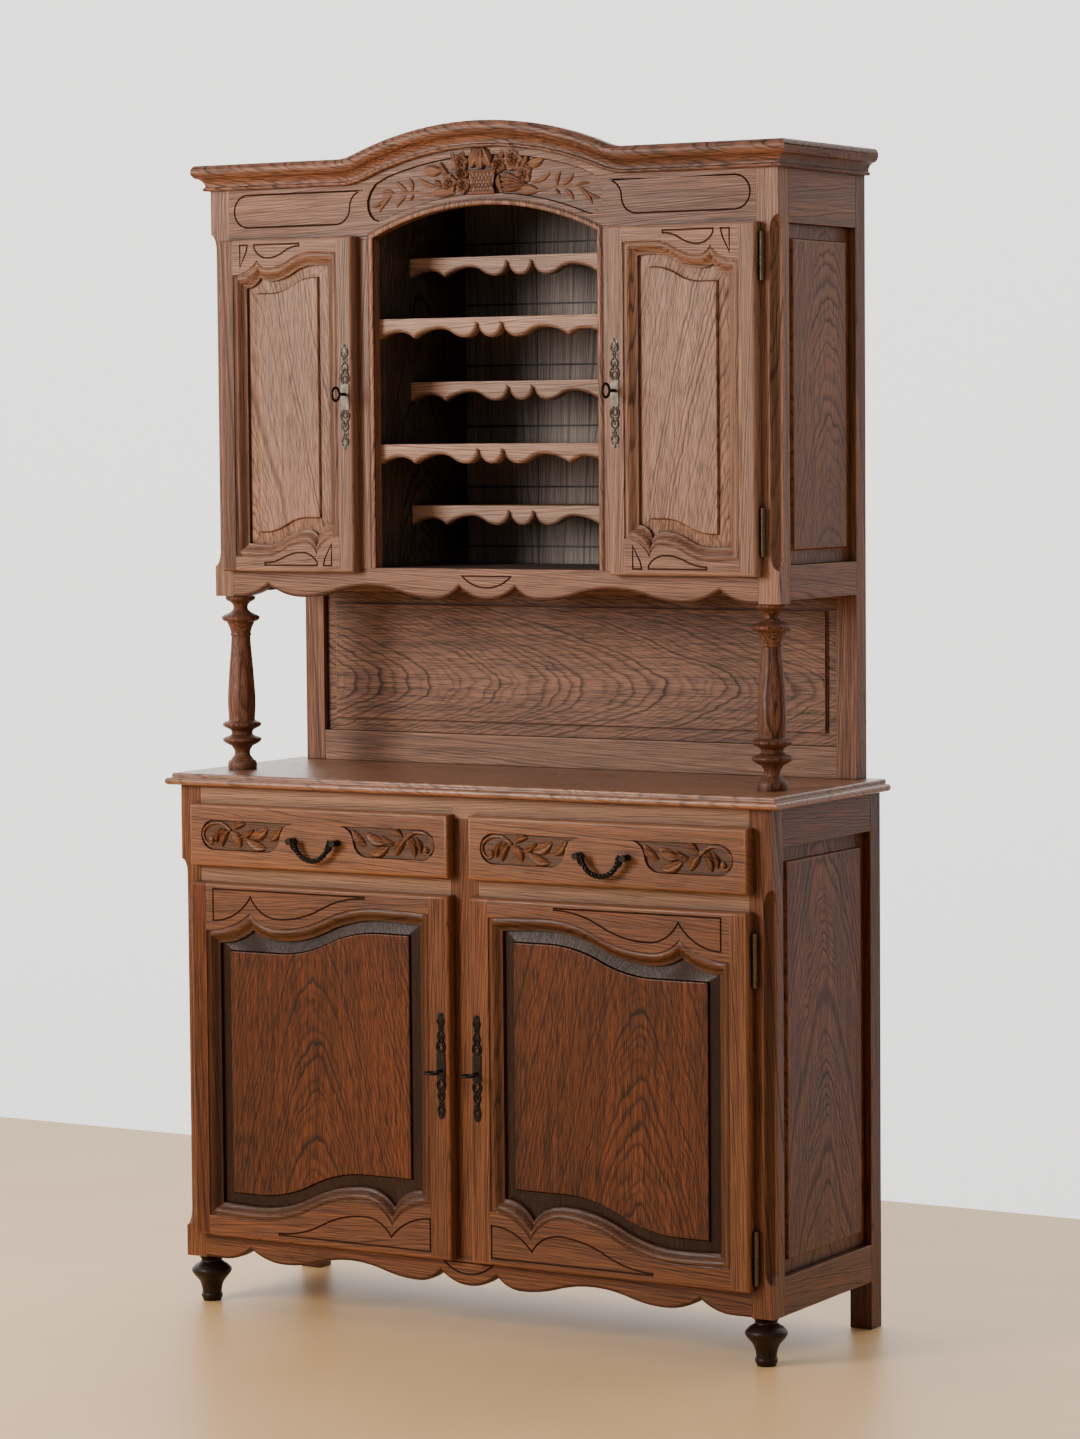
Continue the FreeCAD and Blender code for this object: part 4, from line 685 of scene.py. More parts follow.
def doorFrame(side, level):
    look = frameSettings
    door = doorSettings[level]
    low, high = nodeBox(f"right_{level}_door_frame")
    face, edge, stain = low.y, door["edge"], door["stain"]
    bm = startMesh()
    joints = [low.x + door["innerStile"], high.x - door["outerStile"]]
    headLow = Vector((joints[0], low.y, high.z - look["railWidth"]))
    footHigh = Vector((joints[1], high.y, low.z + look["railWidth"]))
    boards = {
        "inner": sawBoard(low, Vector((joints[0], high.y, high.z)), 2, stain),
        # Painted shade on the left door's outer stile and painted light on the right door's
        "outer": sawBoard(Vector((joints[1], low.y, low.z)), high, 2, stain + look["outerStileShade"][side]),
        "head": sawBoard(headLow, Vector((joints[1], high.y, high.z)), 0, stain),
        "foot": sawBoard(Vector((joints[0], low.y, low.z)), footHigh, 0, stain),
    }
    # Flat faces of rails and stiles, in front with the incised lines of the rails, and at the back
    cuts = [{"path": shapedEdge(points), **groove} for points in door["grooves"]]
    middle = (low.z + high.z) / 2
    cutsOf = {"head": [cut for cut in cuts if cut["path"][0][1] > middle],
              "foot": [cut for cut in cuts if cut["path"][0][1] < middle]}
    for out, inset, y in ((mouldWidth, edge, face), (0, 0, high.y)):
        head, foot = sightSides(door, low, high, -out)
        left, right, bottom, top = low.x + inset, high.x - inset, low.z + inset, high.z - inset
        flats = {
            "head": [(joints[0], top), (joints[1], top)] + head[::-1],
            "foot": [(joints[1], bottom), (joints[0], bottom)] + foot[::-1],
            "inner": [(left, bottom), (left, top), (joints[0], top), head[0], foot[-1],
                      (joints[0], bottom)],
            "outer": [(right, top), (right, bottom), (joints[1], bottom), foot[0], head[-1],
                      (joints[1], top)],
        }
        for name, outline in flats.items():
            flatCuts = cutsOf.get(name, []) if y == face else []
            paint(bm, carvedFlat(bm, outline, y, flatCuts), boards[name])
    # Moulding, mitred where the sides meet
    rows = []
    for out, depth in mouldProfile:
        head, foot = sightSides(door, low, high, -out)
        rows.append(addLoop(bm, head + foot, face + depth))
    sides = roundedSides(bm, low, high, edge, joints)[0]
    mould = bridgeRows(bm, rows)
    for faces, reach in ((mould, mouldWidth), (sides, 0)):
        for each in faces:
            centre = each.calc_center_median()
            share = (centre.z - low.z) / (high.z - low.z)
            away, stile = min((centre.x - joints[0], "inner"), (joints[1] - centre.x, "outer"))
            # Close to the head and the foot the rail takes in half the moulding
            inCorner = not look["cornerShare"] < share < 1 - look["cornerShare"]
            inRail = away > (reach / 2 if inCorner else reach)
            name = ("head" if share > 0.5 else "foot") if inRail else stile
            paint(bm, [each], boards[name])
            if faces is mould:
                deep = centre.y - face > look["deepFrom"]
                markPatina(bm, [each], door["mouldWax"] * (look["deepWax"] if deep else 1))
    finishPiece(bm, f"{side}_{level}_door_frame", flip=side == "left")


# Depths are below the face of the frame; the step up to the field is given from the margin inwards
panelSettings = {"plate": 17.5, "waxBelow": 10.5, "margin": 25, "lip": 4, "points": (60, 12, 60, 12),
                 "step": [(-3.2, 14.2), (-2.4, 15.1), (-1.4, 10), (-0.3, 9.1), (1, 9)]}


def doorPanel(side, level):
    # Raised panel: a dark sunk margin that rises to a small step, then the flat field
    look = panelSettings
    door = doorSettings[level]
    low, high = nodeBox(f"right_{level}_door_frame")
    face, back = low.y, nodeBox(f"right_{level}_door_panel")[1].y
    bm = startMesh()
    plan = [(sightSides, -look["lip"], back - face), (sightSides, -look["lip"], look["plate"]),
            (sightSides, 1, look["plate"])]
    plan += [(fieldSides, look["margin"] + across, depth) for across, depth in look["step"]]
    rows = []
    for sidesOf, inset, depth in plan:
        head, foot = sidesOf(door, low, high, inset)
        runs = [head, [head[-1], foot[0]], foot, [foot[-1], head[0]]]
        line = [point for run, count in zip(runs, look["points"]) for point in spaced(run, count)[:-1]]
        rows.append(addLoop(bm, line, face + depth))
    faces = bridgeRows(bm, rows)
    sunk = [each for each in faces if each.calc_center_median().y - face > look["waxBelow"]]
    markPatina(bm, sunk, door["marginWax"])
    faces += fillFlat(bm, rows[-1]) + fillFlat(bm, rows[0])
    board = sawBoard(*facesBox(faces), along=2, stain=door["panelStain"], heart=door["panelHeart"])
    paint(bm, faces, board)
    finishPiece(bm, f"{side}_{level}_door_panel", flip=side == "left")


for level in ("base", "upper"):
    for side in ("right", "left"):
        doorFrame(side, level)
        doorPanel(side, level)
print("doors built")


# Carving

def addLeaf(bm, root, tip, width, rise, bend, y):
    # A ball drawn out to a point, hollowed along its midrib and bent sideways; y is the ground it lies on
    made = bmesh.ops.create_uvsphere(bm, u_segments=12, v_segments=8, radius=1)
    run = Vector((tip[0] - root[0], 0, tip[1] - root[1]))
    ahead = run.normalized()
    side = Vector((-ahead.z, 0, ahead.x))
    start = Vector((root[0], y, root[1]))
    for vert in made["verts"]:
        across, out, t = vert.co
        full = max(0, 1 - t * t)
        crown = rise * (out - 0.4 * math.exp(-(across / 0.2) ** 2) * max(0, out))
        vert.co = (start + run * (t + 1) / 2 - Vector((0, crown, 0))
                   + side * (across * width / 2 * full ** 0.3 + bend * full * run.length))
    return [face for vert in made["verts"] for face in vert.link_faces]


def addStem(bm, points, thick, y, taper=True):
    # A round stem along a smooth line, thinner to its end
    line = bpy.data.curves.new("stem", "CURVE")
    line.dimensions = "3D"
    line.bevel_depth = thick
    line.bevel_resolution = 2
    line.resolution_u = 6
    line.use_fill_caps = True
    spline = line.splines.new("NURBS")
    spline.points.add(len(points) - 1)
    for number, (point, place) in enumerate(zip(spline.points, points)):
        depth = place[2] if len(place) > 2 else y
        point.co = (place[0], depth, place[1], 1)
        point.radius = 1 - 0.55 * number / (len(points) - 1) if taper else 1
    spline.order_u = 3
    spline.use_endpoint_u = True
    holder = addObject("stem", line)
    tube = bpy.data.meshes.new_from_object(holder.evaluated_get(bpy.context.evaluated_depsgraph_get()))
    bm.from_mesh(tube)
    bpy.data.objects.remove(holder)
    bpy.data.curves.remove(line)
    bpy.data.meshes.remove(tube)


def addBall(bm, x, z, radius, rise, y):
    made = bmesh.ops.create_uvsphere(bm, u_segments=12, v_segments=8, radius=1)
    bmesh.ops.scale(bm, vec=(radius, rise, radius), verts=made["verts"])
    bmesh.ops.translate(bm, vec=(x, y, z), verts=made["verts"])


def addFlower(bm, x, z, radius, rise, y, petals):
    # Broad petals in two rings about a bud, the inner ones shorter and higher
    for ring, (reach, lift) in enumerate(((1, 0.75), (0.62, 1.1))):
        for number in range(petals - ring):
            turn = 2 * math.pi * number / (petals - ring) + radius + ring
            long, high = radius * reach, rise * lift * chance.uniform(0.85, 1.1)
            tip = (x + long * math.cos(turn), z + long * math.sin(turn))
            addLeaf(bm, (x, z), tip, long * 1.05, high, 0.08, y)
    addBall(bm, x, z, radius * 0.22, rise * 1.25, y)


drawerSettings = {
    "edge": 6, "sink": 5, "rim": 1.6, "fieldWax": 0.55, "carvingWax": 0.1, "leafRise": 8.5,
    "scrollThick": 3.4, "stemThick": 2.2, "bud": (7, -9), "budRadius": 6.6, "budRise": 6,
    # The right one of two fields, across from the middle of the drawer
    "field": {"inner": 51, "outer": 228, "foot": 111, "height": 888.5, "radius": 27.5, "steps": 14,
              "slantSteps": 7},
    # Scroll and leaves about the middle of the round end, towards the middle of the drawer to the left
    "scroll": [(-36, 9), (-25, 19), (-10, 23.5), (10, 20), (23, 11), (26, -2), (19, -15), (10, -18),
               (2, -12), (5, -6)],
    "stem": [(-34, 8), (-60, -2), (-90, -10), (-112, -21)],
    "leaves": [
        (-33, 11, -16, -23, 15, 0.14), (-37, 8, -58, -22, 20, -0.12), (-27, 12, -12, -4, 10, 0.14),
        (-72, -5, -116, -21, 20, 0.1), (-42, 12, -70, 23, 15, -0.14), (-78, 0, -120, 17, 22, 0.12),
        (-120, -6, -150, 21, 19, 0.1), (-57, -1, -88, 14, 12, 0.12), (-15, 14, -4, -16, 12, 0.12),
    ],
}


def drawerFront(side):
    look = drawerSettings
    low, high = nodeBox("right_drawer_front")
    middle = (low.x + high.x) / 2
    face, edge, shape = low.y, look["edge"], look["field"]
    bm = startMesh()
    cuts = [{"path": [(middle + way * x, z) for x, z in slantField(shape)], "width": look["rim"],
             "depth": look["sink"], "sunk": look["fieldWax"]} for way in (1, -1)]
    carvedFlat(bm, rectangle(low, high, -edge, []), face, cuts)
    fillFlat(bm, roundedSides(bm, low, high, edge, [])[1])
    ground = face + look["sink"]
    for way in (1, -1):
        def toFront(u, v):
            return (middle + way * (shape["outer"] + u), shape["height"] + v)
        carving = len(bm.faces)
        addStem(bm, [toFront(*point) for point in look["scroll"]], look["scrollThick"], ground - 1.8)
        addStem(bm, [toFront(*point) for point in look["stem"]], look["stemThick"], ground - 0.8)
        addBall(bm, *toFront(*look["bud"]), look["budRadius"], look["budRise"], ground)
        for u0, v0, u1, v1, width, bend in look["leaves"]:
            addLeaf(bm, toFront(u0, v0), toFront(u1, v1), width, look["leafRise"], bend * way, ground + 0.4)
        bm.faces.ensure_lookup_table()
        markPatina(bm, bm.faces[carving:], look["carvingWax"])
    paint(bm, bm.faces, sawBoard(low, high, 0))
    finishPiece(bm, f"{side}_drawer_front", flip=side == "left")


for side in ("right", "left"):
    drawerFront(side)
print("drawer fronts carved")


friezeSettings = {
    "arch": {"half": 300, "rise": 58, "share": 0.83},
    "rack": {"half": 237, "rise": 53, "spring": 4},
    "sink": 5,
    # Field over the rack: half width, rise and height of its two arcs, then its right end
    "kidney": {"top": (205, 32.3, 2094), "foot": (213, 41, 2017),
               "bend": [(230, 2082), (241, 2068), (247, 2052), (246.5, 2038), (242, 2026.5), (234, 2018),
                        (224, 2014.5)]},
    "cartouche": {"inner": 256, "outer": 512, "foot": 316, "height": 2042, "radius": 30, "steps": 12,
                  "slantSteps": 8},
    # Painted shade: a dark sheet on the ground between the flowers, where their shadows fall
    "waxAndShade": {"root": (-92, 2090), "tip": (100, 2090), "width": 58, "rise": 1.6, "bend": 0},
    "gapShadeMark": 0.8, "fieldMark": 0.12, "carvingMark": -0.35,
    "leafRise": 9, "fanStep": 0.6, "boardHeight": 160,
    "spray": {
        "thick": 2.4, "leafRise": 5,
        "stem": [(100, 2057), (129, 2061), (153, 2066), (188, 2064), (218, 2060)],
        "leaves": [
            (152, 2066, 160, 2092, 9, 0.1), (162, 2067, 187, 2087, 10, -0.08),
            (190, 2064, 220, 2068, 7, 0.1), (165, 2060, 187, 2038, 10, 0.1),
            (196, 2062, 225, 2030, 10, 0.08), (214, 2054, 241, 2041, 7, -0.1),
            (98, 2074, 140, 2091, 10, -0.1), (149, 2061, 158, 2050, 6, 0),
        ],
    },
    "leaves": [
        (-88, 2101, -128, 2106, 22, 0.05), (88, 2104, 126, 2116, 19, -0.05), (84, 2108, 100, 2096, 10, 0),
        (64, 2060, 116, 2058, 21, 0.05), (-60, 2060, -112, 2060, 18, -0.05),
        (-34, 2112, -42, 2141, 12, 0.1), (10, 2114, 16, 2143, 12, 0.1), (-22, 2118, -20, 2145, 11, 0),
        (28, 2112, 44, 2139, 13, -0.1),
        (-56, 2112, -68, 2137, 13, 0), (-72, 2090, -92, 2118, 13, 0.1), (76, 2098, 92, 2126, 13, -0.1),
        (-30, 2090, -38, 2060, 14, 0.1), (32, 2092, 40, 2058, 14, -0.1), (-84, 2074, -104, 2086, 11, 0.1),
    ],
    # Drooping bell over the basket and a ribbed shell beside it: root, tips, width and rise
    "fans": [((-5, 2144), [(-27, 2103), (17, 2103), (-5, 2097)], 27, 15),
             ((92, 2070), [(38, 2093), (32, 2083), (31, 2072), (36, 2062)], 15, 13)],
    "flowers": [(-49, 2115, 19, 13, 6), (-46, 2095, 16, 15, 5), (-73, 2078, 19, 11, 5),
                (-43, 2073, 16, 13, 5), (62, 2115, 22, 14, 6), (33, 2108, 17, 15, 5),
                (83, 2089, 18, 11, 5)],
    # Half widths and heights of the basket, then spacing, lean and thickness of its woven strands
    "basket": {"top": 27, "foot": 21, "low": 2060, "high": 2096, "out": 9, "topPitch": 8, "footPitch": 7,
               "lean": 10, "limit": 25, "strand": 1.3, "rim": 3, "rims": [(2059, 26), (2097, 29)]},
}


def friezeBoard():
    look = friezeSettings
    low, high = nodeBox("frieze_board")
    face = low.y
    arch, rack = look["arch"], look["rack"]
    shoulder, half = high.z - arch["rise"], rack["half"]
    right = shapedEdge([("level", (0, high.z)), ("level", (arch["half"], shoulder))], 14, arch["share"])
    rackLine = arcThrough(half, rack["rise"], low.z + rack["spring"], 28)
    outline = [(low.x, low.z), (low.x, shoulder), *mirrorPath(right)[:-1], *right, (high.x, shoulder),
               (high.x, low.z), (half, low.z), *rackLine[::-1], (-half, low.z)]
    # Kidney-shaped field over the rack, and a cartouche on each side
    top, foot = [arcThrough(*look["kidney"][name], 20) for name in ("top", "foot")]
    bend = look["kidney"]["bend"]
    kidney = top + bend + foot[::-1] + mirrorPath(bend)
    sideField = slantField(look["cartouche"])
    cuts = [{"path": kidney, "width": 2, "depth": look["sink"], "sunk": look["fieldMark"]},
            {"path": sideField, **groove}, {"path": mirrorPath(sideField), **groove}]
    bm = startMesh()
    carvedFlat(bm, outline, face, cuts)
    front, behind = addLoop(bm, outline, face), addLoop(bm, outline, high.y)
    bridgeRows(bm, [front, behind])
    fillFlat(bm, behind)
    ground = face + look["sink"] + 0.4
    # A dark sheet behind the flowers: painted shade
    markPatina(bm, addLeaf(bm, **look["waxAndShade"], y=ground), look["gapShadeMark"])
    carving = len(bm.faces)
    spray = look["spray"]
    for way in (1, -1):
        addStem(bm, [(x * way, z) for x, z in spray["stem"]], spray["thick"], ground - 1)
        for x0, z0, x1, z1, width, turn in spray["leaves"]:
            addLeaf(bm, (x0 * way, z0), (x1 * way, z1), width, spray["leafRise"], turn * way, ground)
    for x0, z0, x1, z1, width, turn in look["leaves"]:
        addLeaf(bm, (x0, z0), (x1, z1), width, look["leafRise"], turn, ground)
    for root, tips, width, rise in look["fans"]:
        for number, tip in enumerate(tips):
            addLeaf(bm, root, tip, width, rise + number * look["fanStep"], 0, ground)
    for x, z, size, rise, petals in look["flowers"]:
        addFlower(bm, x, z, size, rise, ground, petals)
    bm.faces.ensure_lookup_table()
    markPatina(bm, bm.faces[carving:], look["carvingMark"])
    basket = look["basket"]
    made = bmesh.ops.create_cube(bm, size=1)
    for vert in made["verts"]:
        upper = vert.co.z > 0
        half, height = (basket["top"], basket["high"]) if upper else (basket["foot"], basket["low"])
        vert.co = (2 * vert.co.x * half, ground - basket["out"] * (0.5 - vert.co.y), height)
    for number in range(-3, 4):
        for way in (1, -1):
            lean, limit = way * basket["lean"], basket["limit"]
            ends = [(number * basket["topPitch"] + lean, basket["high"] - 1),
                    (number * basket["footPitch"] - lean, basket["low"] + 1)]
            upper, lower = [(max(-limit, min(limit, x)), z) for x, z in ends]
            between = tuple((a + b) / 2 for a, b in zip(upper, lower))
            addStem(bm, [upper, between, lower], basket["strand"], ground - basket["out"] - 0.2, False)
    for z, half in basket["rims"]:
        addStem(bm, [(-half, z), (0, z), (half, z)], basket["rim"], ground - basket["out"] + 1, False)
    boardTop = Vector((high.x, high.y, low.z + look["boardHeight"]))
    paint(bm, bm.faces, sawBoard(low, boardTop, 0, stainAndShadeOf["frieze_board"]))
    finishPiece(bm, "frieze_board")


friezeBoard()
print("frieze carved")


# Aprons and plate shelves

# Rounding along a shaped lower edge: distance from the edge, depth below the face
edgeProfile = [(0, 6), (0.5, 3.8), (1.7, 1.8), (3.6, 0.5), (6, 0)]
# Painted shade on the rounded lower edge
edgeShade = 0.5


def shapedBoard(bm, edge, low, high, cuts):
    # A board with a shaped lower edge, rounded over at the front, the rounding darkened as painted shade
    rows = []
    for away, depth in [(0, high.y - low.y)] + edgeProfile:
        line = offsetPath(edge, away, closed=False)
        line = [(low.x, line[0][1]), *line[1:-1], (high.x, line[-1][1])]
        rows.append((line, addLoop(bm, line, low.y + depth, closed=False)))
    rounding = bridgeRows(bm, [row for line, row in rows])
    markPatina(bm, rounding, edgeShade)
    corners = [(high.x, high.z), (low.x, high.z)]
    front = carvedFlat(bm, rows[-1][0] + corners, low.y, cuts)
    back = fillFlat(bm, addLoop(bm, rows[0][0] + corners, high.y))
    verts = list({vert for face in rounding + front + back for vert in face.verts})
    bmesh.ops.remove_doubles(bm, verts=verts, dist=0.004)
    # Close the two ends and the top
    near = [vert for vert in bm.verts if vert.is_valid and low.z - 1 < vert.co.z < high.z + 1]
    tops = []
    for x in (low.x, high.x):
        tips = [Vector((x, y, high.z)) for y in (low.y, high.y)]
        tops.append(bm.edges.new([min(near, key=lambda vert: (vert.co - tip).length) for tip in tips]))
        side = {line for vert in near for line in vert.link_edges
                if len(line.link_faces) < 2 and all(abs(end.co.x - x) < 0.01 for end in line.verts)}
        fillFlat(bm, list(side))
    lid = [line for line in tops[0].verts[0].link_edges[:] + tops[1].verts[1].link_edges[:] + tops
           if all(abs(vert.co.z - high.z) < 0.01 for vert in line.verts)]
    fillFlat(bm, list(set(lid)))


apronSettings = {"rise": 22, "cusp": 59, "lobe": 110, "sideLobe": 405, "sideCusp": 477, "block": 540,
                 "moonHalf": 52, "moonTop": 43, "moonFoot": 22}


def apronBoard(node):
    look = apronSettings
    low, high = nodeBox(node)
    crest = low.z + look["rise"]
    arch = (look["lobe"] + look["sideLobe"]) / 2
    right = shapedEdge([
        ("level", (0, low.z)), ("tip", (look["cusp"], crest)), ("level", (look["lobe"], low.z)),
        ("level", (arch, crest)), ("level", (look["sideLobe"], low.z)), ("tip", (look["sideCusp"], crest)),
        ("level", (look["block"], low.z)), ("end", (high.x, low.z))], 9)
    top, foot = low.z + look["moonTop"], low.z + look["moonFoot"]
    moon = [(x, top - z) for x, z in arcThrough(look["moonHalf"], top - foot, 0, 16)]
    bm = startMesh()
    shapedBoard(bm, mirrorPath(right)[:-1] + right, low, high, [{"path": moon, **groove}])
    paint(bm, bm.faces, sawBoard(low, high, 0, stainAndShadeOf.get(node, 1)))
    finishPiece(bm, node)


shelfSettings = {"half": 237, "tops": (1495, 1609, 1723, 1837, 1951), "setbacks": (126, 19),
                 "stripHeight": 36, "stripThick": 18, "boardThick": 15, "cusp": 26, "cuspRise": 30,
                 "lobe": 54, "archRise": 17, "point": 164, "endArch": 196, "endRise": 12, "stain": 0.78}


def plateShelves():
    look = shelfSettings
    face, back = nodeBox("frieze_board")[0].y, nodeBox("plate_shelves")[1].y
    bm = startMesh()
    for number, top in enumerate(look["tops"]):
        low = Vector((-look["half"], face + look["setbacks"][number % 2], top - look["stripHeight"]))
        high = Vector((look["half"], low.y + look["stripThick"], top))
        foot, arch = low.z, (look["lobe"] + look["point"]) / 2
        right = shapedEdge([
            ("level", (0, foot)), ("tip", (look["cusp"], foot + look["cuspRise"])),
            ("level", (look["lobe"], foot)), ("level", (arch, foot + look["archRise"])),
            ("tip", (look["point"], foot)), ("level", (look["endArch"], foot + look["endRise"])),
            ("tip", (high.x, foot))], 6)
        shapedBoard(bm, mirrorPath(right)[:-1] + right, low, high, [])
        addBox(bm, Vector((low.x, high.y, top - look["boardThick"])), Vector((high.x, back, top)))
    sawEach(bm, 0, look["stain"])
    finishPiece(bm, "plate_shelves")


for node in ("base_apron", "upper_apron"):
    apronBoard(node)
plateShelves()
print("aprons and plate shelves shaped")


# Bead round the plate rack: distance out from the opening, depth below the face of the frieze
rackBeadSettings = {"half": 237, "foot": 1383, "spring": 1985, "rise": 53, "waxAndShade": 0.7,
                    "profile": [(-0.4, 3), (-0.4, -1.2), (1, -2.6), (3.5, -3.2), (6.5, -2.8), (8.4, -1.2),
                                (9.4, -0.4), (11.5, -0.4), (12.2, 1)]}


def rackBead():
    look = rackBeadSettings
    face = nodeBox("frieze_board")[0].y
    half, foot = look["half"], look["foot"]
    path = [(-half, foot), *arcThrough(half, look["rise"], look["spring"], 32), (half, foot)]
    bm = startMesh()
    rows = [addLoop(bm, offsetPath(path, out, closed=False), face + depth, closed=False)
            for out, depth in look["profile"]]
    bead = bridgeRows(bm, rows + rows[:1])
    hollow = [each for each in bead if each.calc_center_median().y - face > -0.9]
    markPatina(bm, hollow, look["waxAndShade"])
    bmesh.ops.holes_fill(bm, edges=[edge for edge in bm.edges if edge.is_boundary], sides=0)
    paint(bm, bm.faces, sawBoard(*facesBox(bm.faces), along=2))
    finishPiece(bm, "frieze_board", name="rack_bead", replaced=False)


rackBead()


# Turned pieces: radius and height of each point of the profile, from the foot up
turnedSettings = {
    "columns": [
        (0, 0), (27, 0), (27.5, 9), (26.5, 15), (21.5, 18.5), (19.5, 21.5), (15.4, 26.5), (14.5, 30),
        (15, 36), (20, 44), (27, 47.4), (33, 51), (36, 54), (36.5, 56), (36, 58.4), (33, 60.4),
        (25, 62.8), (20, 66), (19.7, 70.5), (22, 74.5), (29, 78), (33.5, 80.4), (36, 82.6),
        (36.5, 84.6), (36, 87), (32.5, 89.6), (26, 91.6), (24.7, 94), (25, 102), (25.7, 110),
        (26.2, 120), (26.2, 135), (25.6, 148), (24.6, 160), (23.2, 183), (21.2, 206), (19.1, 230),
        (17.8, 251), (19.2, 252), (19.8, 254.5), (19.2, 257), (18.6, 257.8), (19.4, 261), (21.5, 268),
        (24.5, 274), (26, 278), (31, 279.6), (34.6, 282.2), (36, 285), (35.4, 288), (32, 290.4),
        (26, 292.8), (20, 296), (14.2, 301), (13.4, 305), (14.4, 310), (18, 314.4), (24, 317.6),
        (27.4, 320), (28, 322), (28, 326), (0, 326)],
    "front_feet": [
        (0, 0), (17, 0), (18, 4), (20, 7.5), (20.4, 10.5), (19.6, 13.4), (18.2, 14.6), (18.4, 20),
        (19.2, 25), (20.6, 31), (23.5, 37.5), (28.5, 43.5), (33.5, 49.5), (36.8, 54), (38, 58),
        (37.2, 61.5), (34.2, 65), (31.6, 66.6), (30.8, 68.2), (27.6, 70), (24, 72.2), (20.6, 74.6),
        (19.6, 76.2), (20, 78.8), (21.5, 81.8), (24.5, 85.6), (26, 88), (0, 88)],
}


def turnedPair(node):
    # Two alike, each turned about an upright line in the middle of the depth of their box
    low, high = nodeBox(node)
    profile = turnedSettings[node]
    reach = max(radius for radius, height in profile)
    bm = startMesh()
    for x in (low.x + reach, high.x - reach):
        axis = Vector((x, (low.y + high.y) / 2, low.z))
        verts = [bm.verts.new(axis + Vector((radius, 0, height))) for radius, height in profile]
        lines = [bm.edges.new(pair) for pair in zip(verts, verts[1:])]
        bmesh.ops.spin(bm, geom=verts + lines, cent=axis, axis=(0, 0, 1), angle=2 * math.pi, steps=48,
                       use_merge=True)
    bmesh.ops.remove_doubles(bm, verts=bm.verts, dist=0.004)
    sawEach(bm, 2, stainAndShadeOf.get(node, 1))
    finishPiece(bm, node, sharpAngle=50)


for node in turnedSettings:
    turnedPair(node)
print("columns and feet turned")


# Lock plates and drawer bails

escutcheonSettings = {
    "half": 9, "block": 24, "proud": 2, "edge": 0.9, "thin": 0.7, "flatPlate": 4,
    "lift": {"base": 9, "upper": -5}, "ring": 33, "ringSize": 5.4, "wire": 1.5,
    "leafRise": 2.6, "bud": {"up": 93, "radius": 3.4, "rise": 2.8},
    "holes": [(33, 3.8), (47, 2), (60, 2.2), (75, 2)],
    # Outline of the upper half of the thin plate, then its scrolls, across and up from the keyhole
    "outline": [(7.5, 20), (7, 25), (8.2, 30), (8.2, 36), (6, 43), (7.2, 50), (7.4, 58), (5.4, 65),
                (6.6, 72), (7, 80), (6, 87), (6.6, 92), (4.4, 96)],
    "scrolls": [[(2, 24), (8, 28), (9, 35), (7, 42), (2, 48), (0, 55)],
                [(-2, 42), (-7, 50), (-6, 58), (0, 64), (4, 71), (0, 77)],
                [(0, 70), (6, 76), (7, 83), (3, 88)]],
    "leaves": [(0, 76, 0, 95, 7), (2, 48, 8, 57, 5), (1, 62, -7, 70, 5), (0, 78, 7, 90, 4),
               (0, 78, -7, 90, 4)],
}


def lockPlate(side, level):
    look = escutcheonSettings
    bm = startMesh(f"right_{level}_door_lock")
    # The case behind the door stays, the flat plate on the face gives way to a pierced one
    plate = []
    for group in islands(bm):
        low, high = facesBox(group)
        if high.y - low.y < look["flatPlate"]:
            plate += group
    low, high = facesBox(plate)
    bmesh.ops.delete(bm, geom=plate, context="FACES")
    x, y, z = (low.x + high.x) / 2, high.y, (low.z + high.z) / 2 + look["lift"][level]
    reach = Vector((look["half"], 0, look["block"]))
    verts = addBox(bm, Vector((x, y - look["proud"], z)) - reach, Vector((x, y, z)) + reach)
    roundEdges(bm, {edge for vert in verts for edge in vert.link_edges}, look["edge"], 2)
    rim = [(math.cos(math.pi * step / 8), math.sin(math.pi * step / 8)) for step in range(17)]
    edge = look["outline"] + mirrorPath(look["outline"])
    for up in (1, -1):
        paths = [[(x + u, z + up * v) for u, v in edge]]
        paths += [[(x + size * a, z + up * v + size * b) for a, b in rim[:-1]] for v, size in look["holes"]]
        front, behind = [[addLoop(bm, line, depth) for line in paths] for depth in (y - look["thin"], y)]
        for rows in (front, behind):
            fillFlat(bm, [line for row in rows for line in row])
        for pair in zip(front, behind):
            bridgeRows(bm, pair)
    # Wire scrolls and small leaves on the plate
    for up in (1, -1):
        size, centre = look["ringSize"], z + up * look["ring"]
        wires = [[(x + size * a, centre + size * b) for a, b in rim]]
        for scroll in look["scrolls"]:
            wires += [[(x + way * u, z + up * v) for u, v in scroll] for way in (1, -1)]
        for wire in wires:
            addStem(bm, wire, look["wire"], y - 1, False)
        for u0, v0, u1, v1, width in look["leaves"]:
            addLeaf(bm, (x + u0, z + up * v0), (x + u1, z + up * v1), width, look["leafRise"], 0, y)
        bud = look["bud"]
        addBall(bm, x, z + up * bud["up"], bud["radius"], bud["rise"], y)
    finishPiece(bm, f"{side}_{level}_door_lock", flip=side == "left")


bailSettings = {"span": 37.6, "drop": 34, "lift": 4, "wire": 2.3, "off": 2.9, "pitch": 24, "strands": 3,
                "steps": 60, "pin": 2.2, "pinShares": (0.7, 0.85, 1),
                "leaf": {"root": (36, 6), "tip": (39, -17), "width": 11, "rise": 6, "bend": 0.12}}


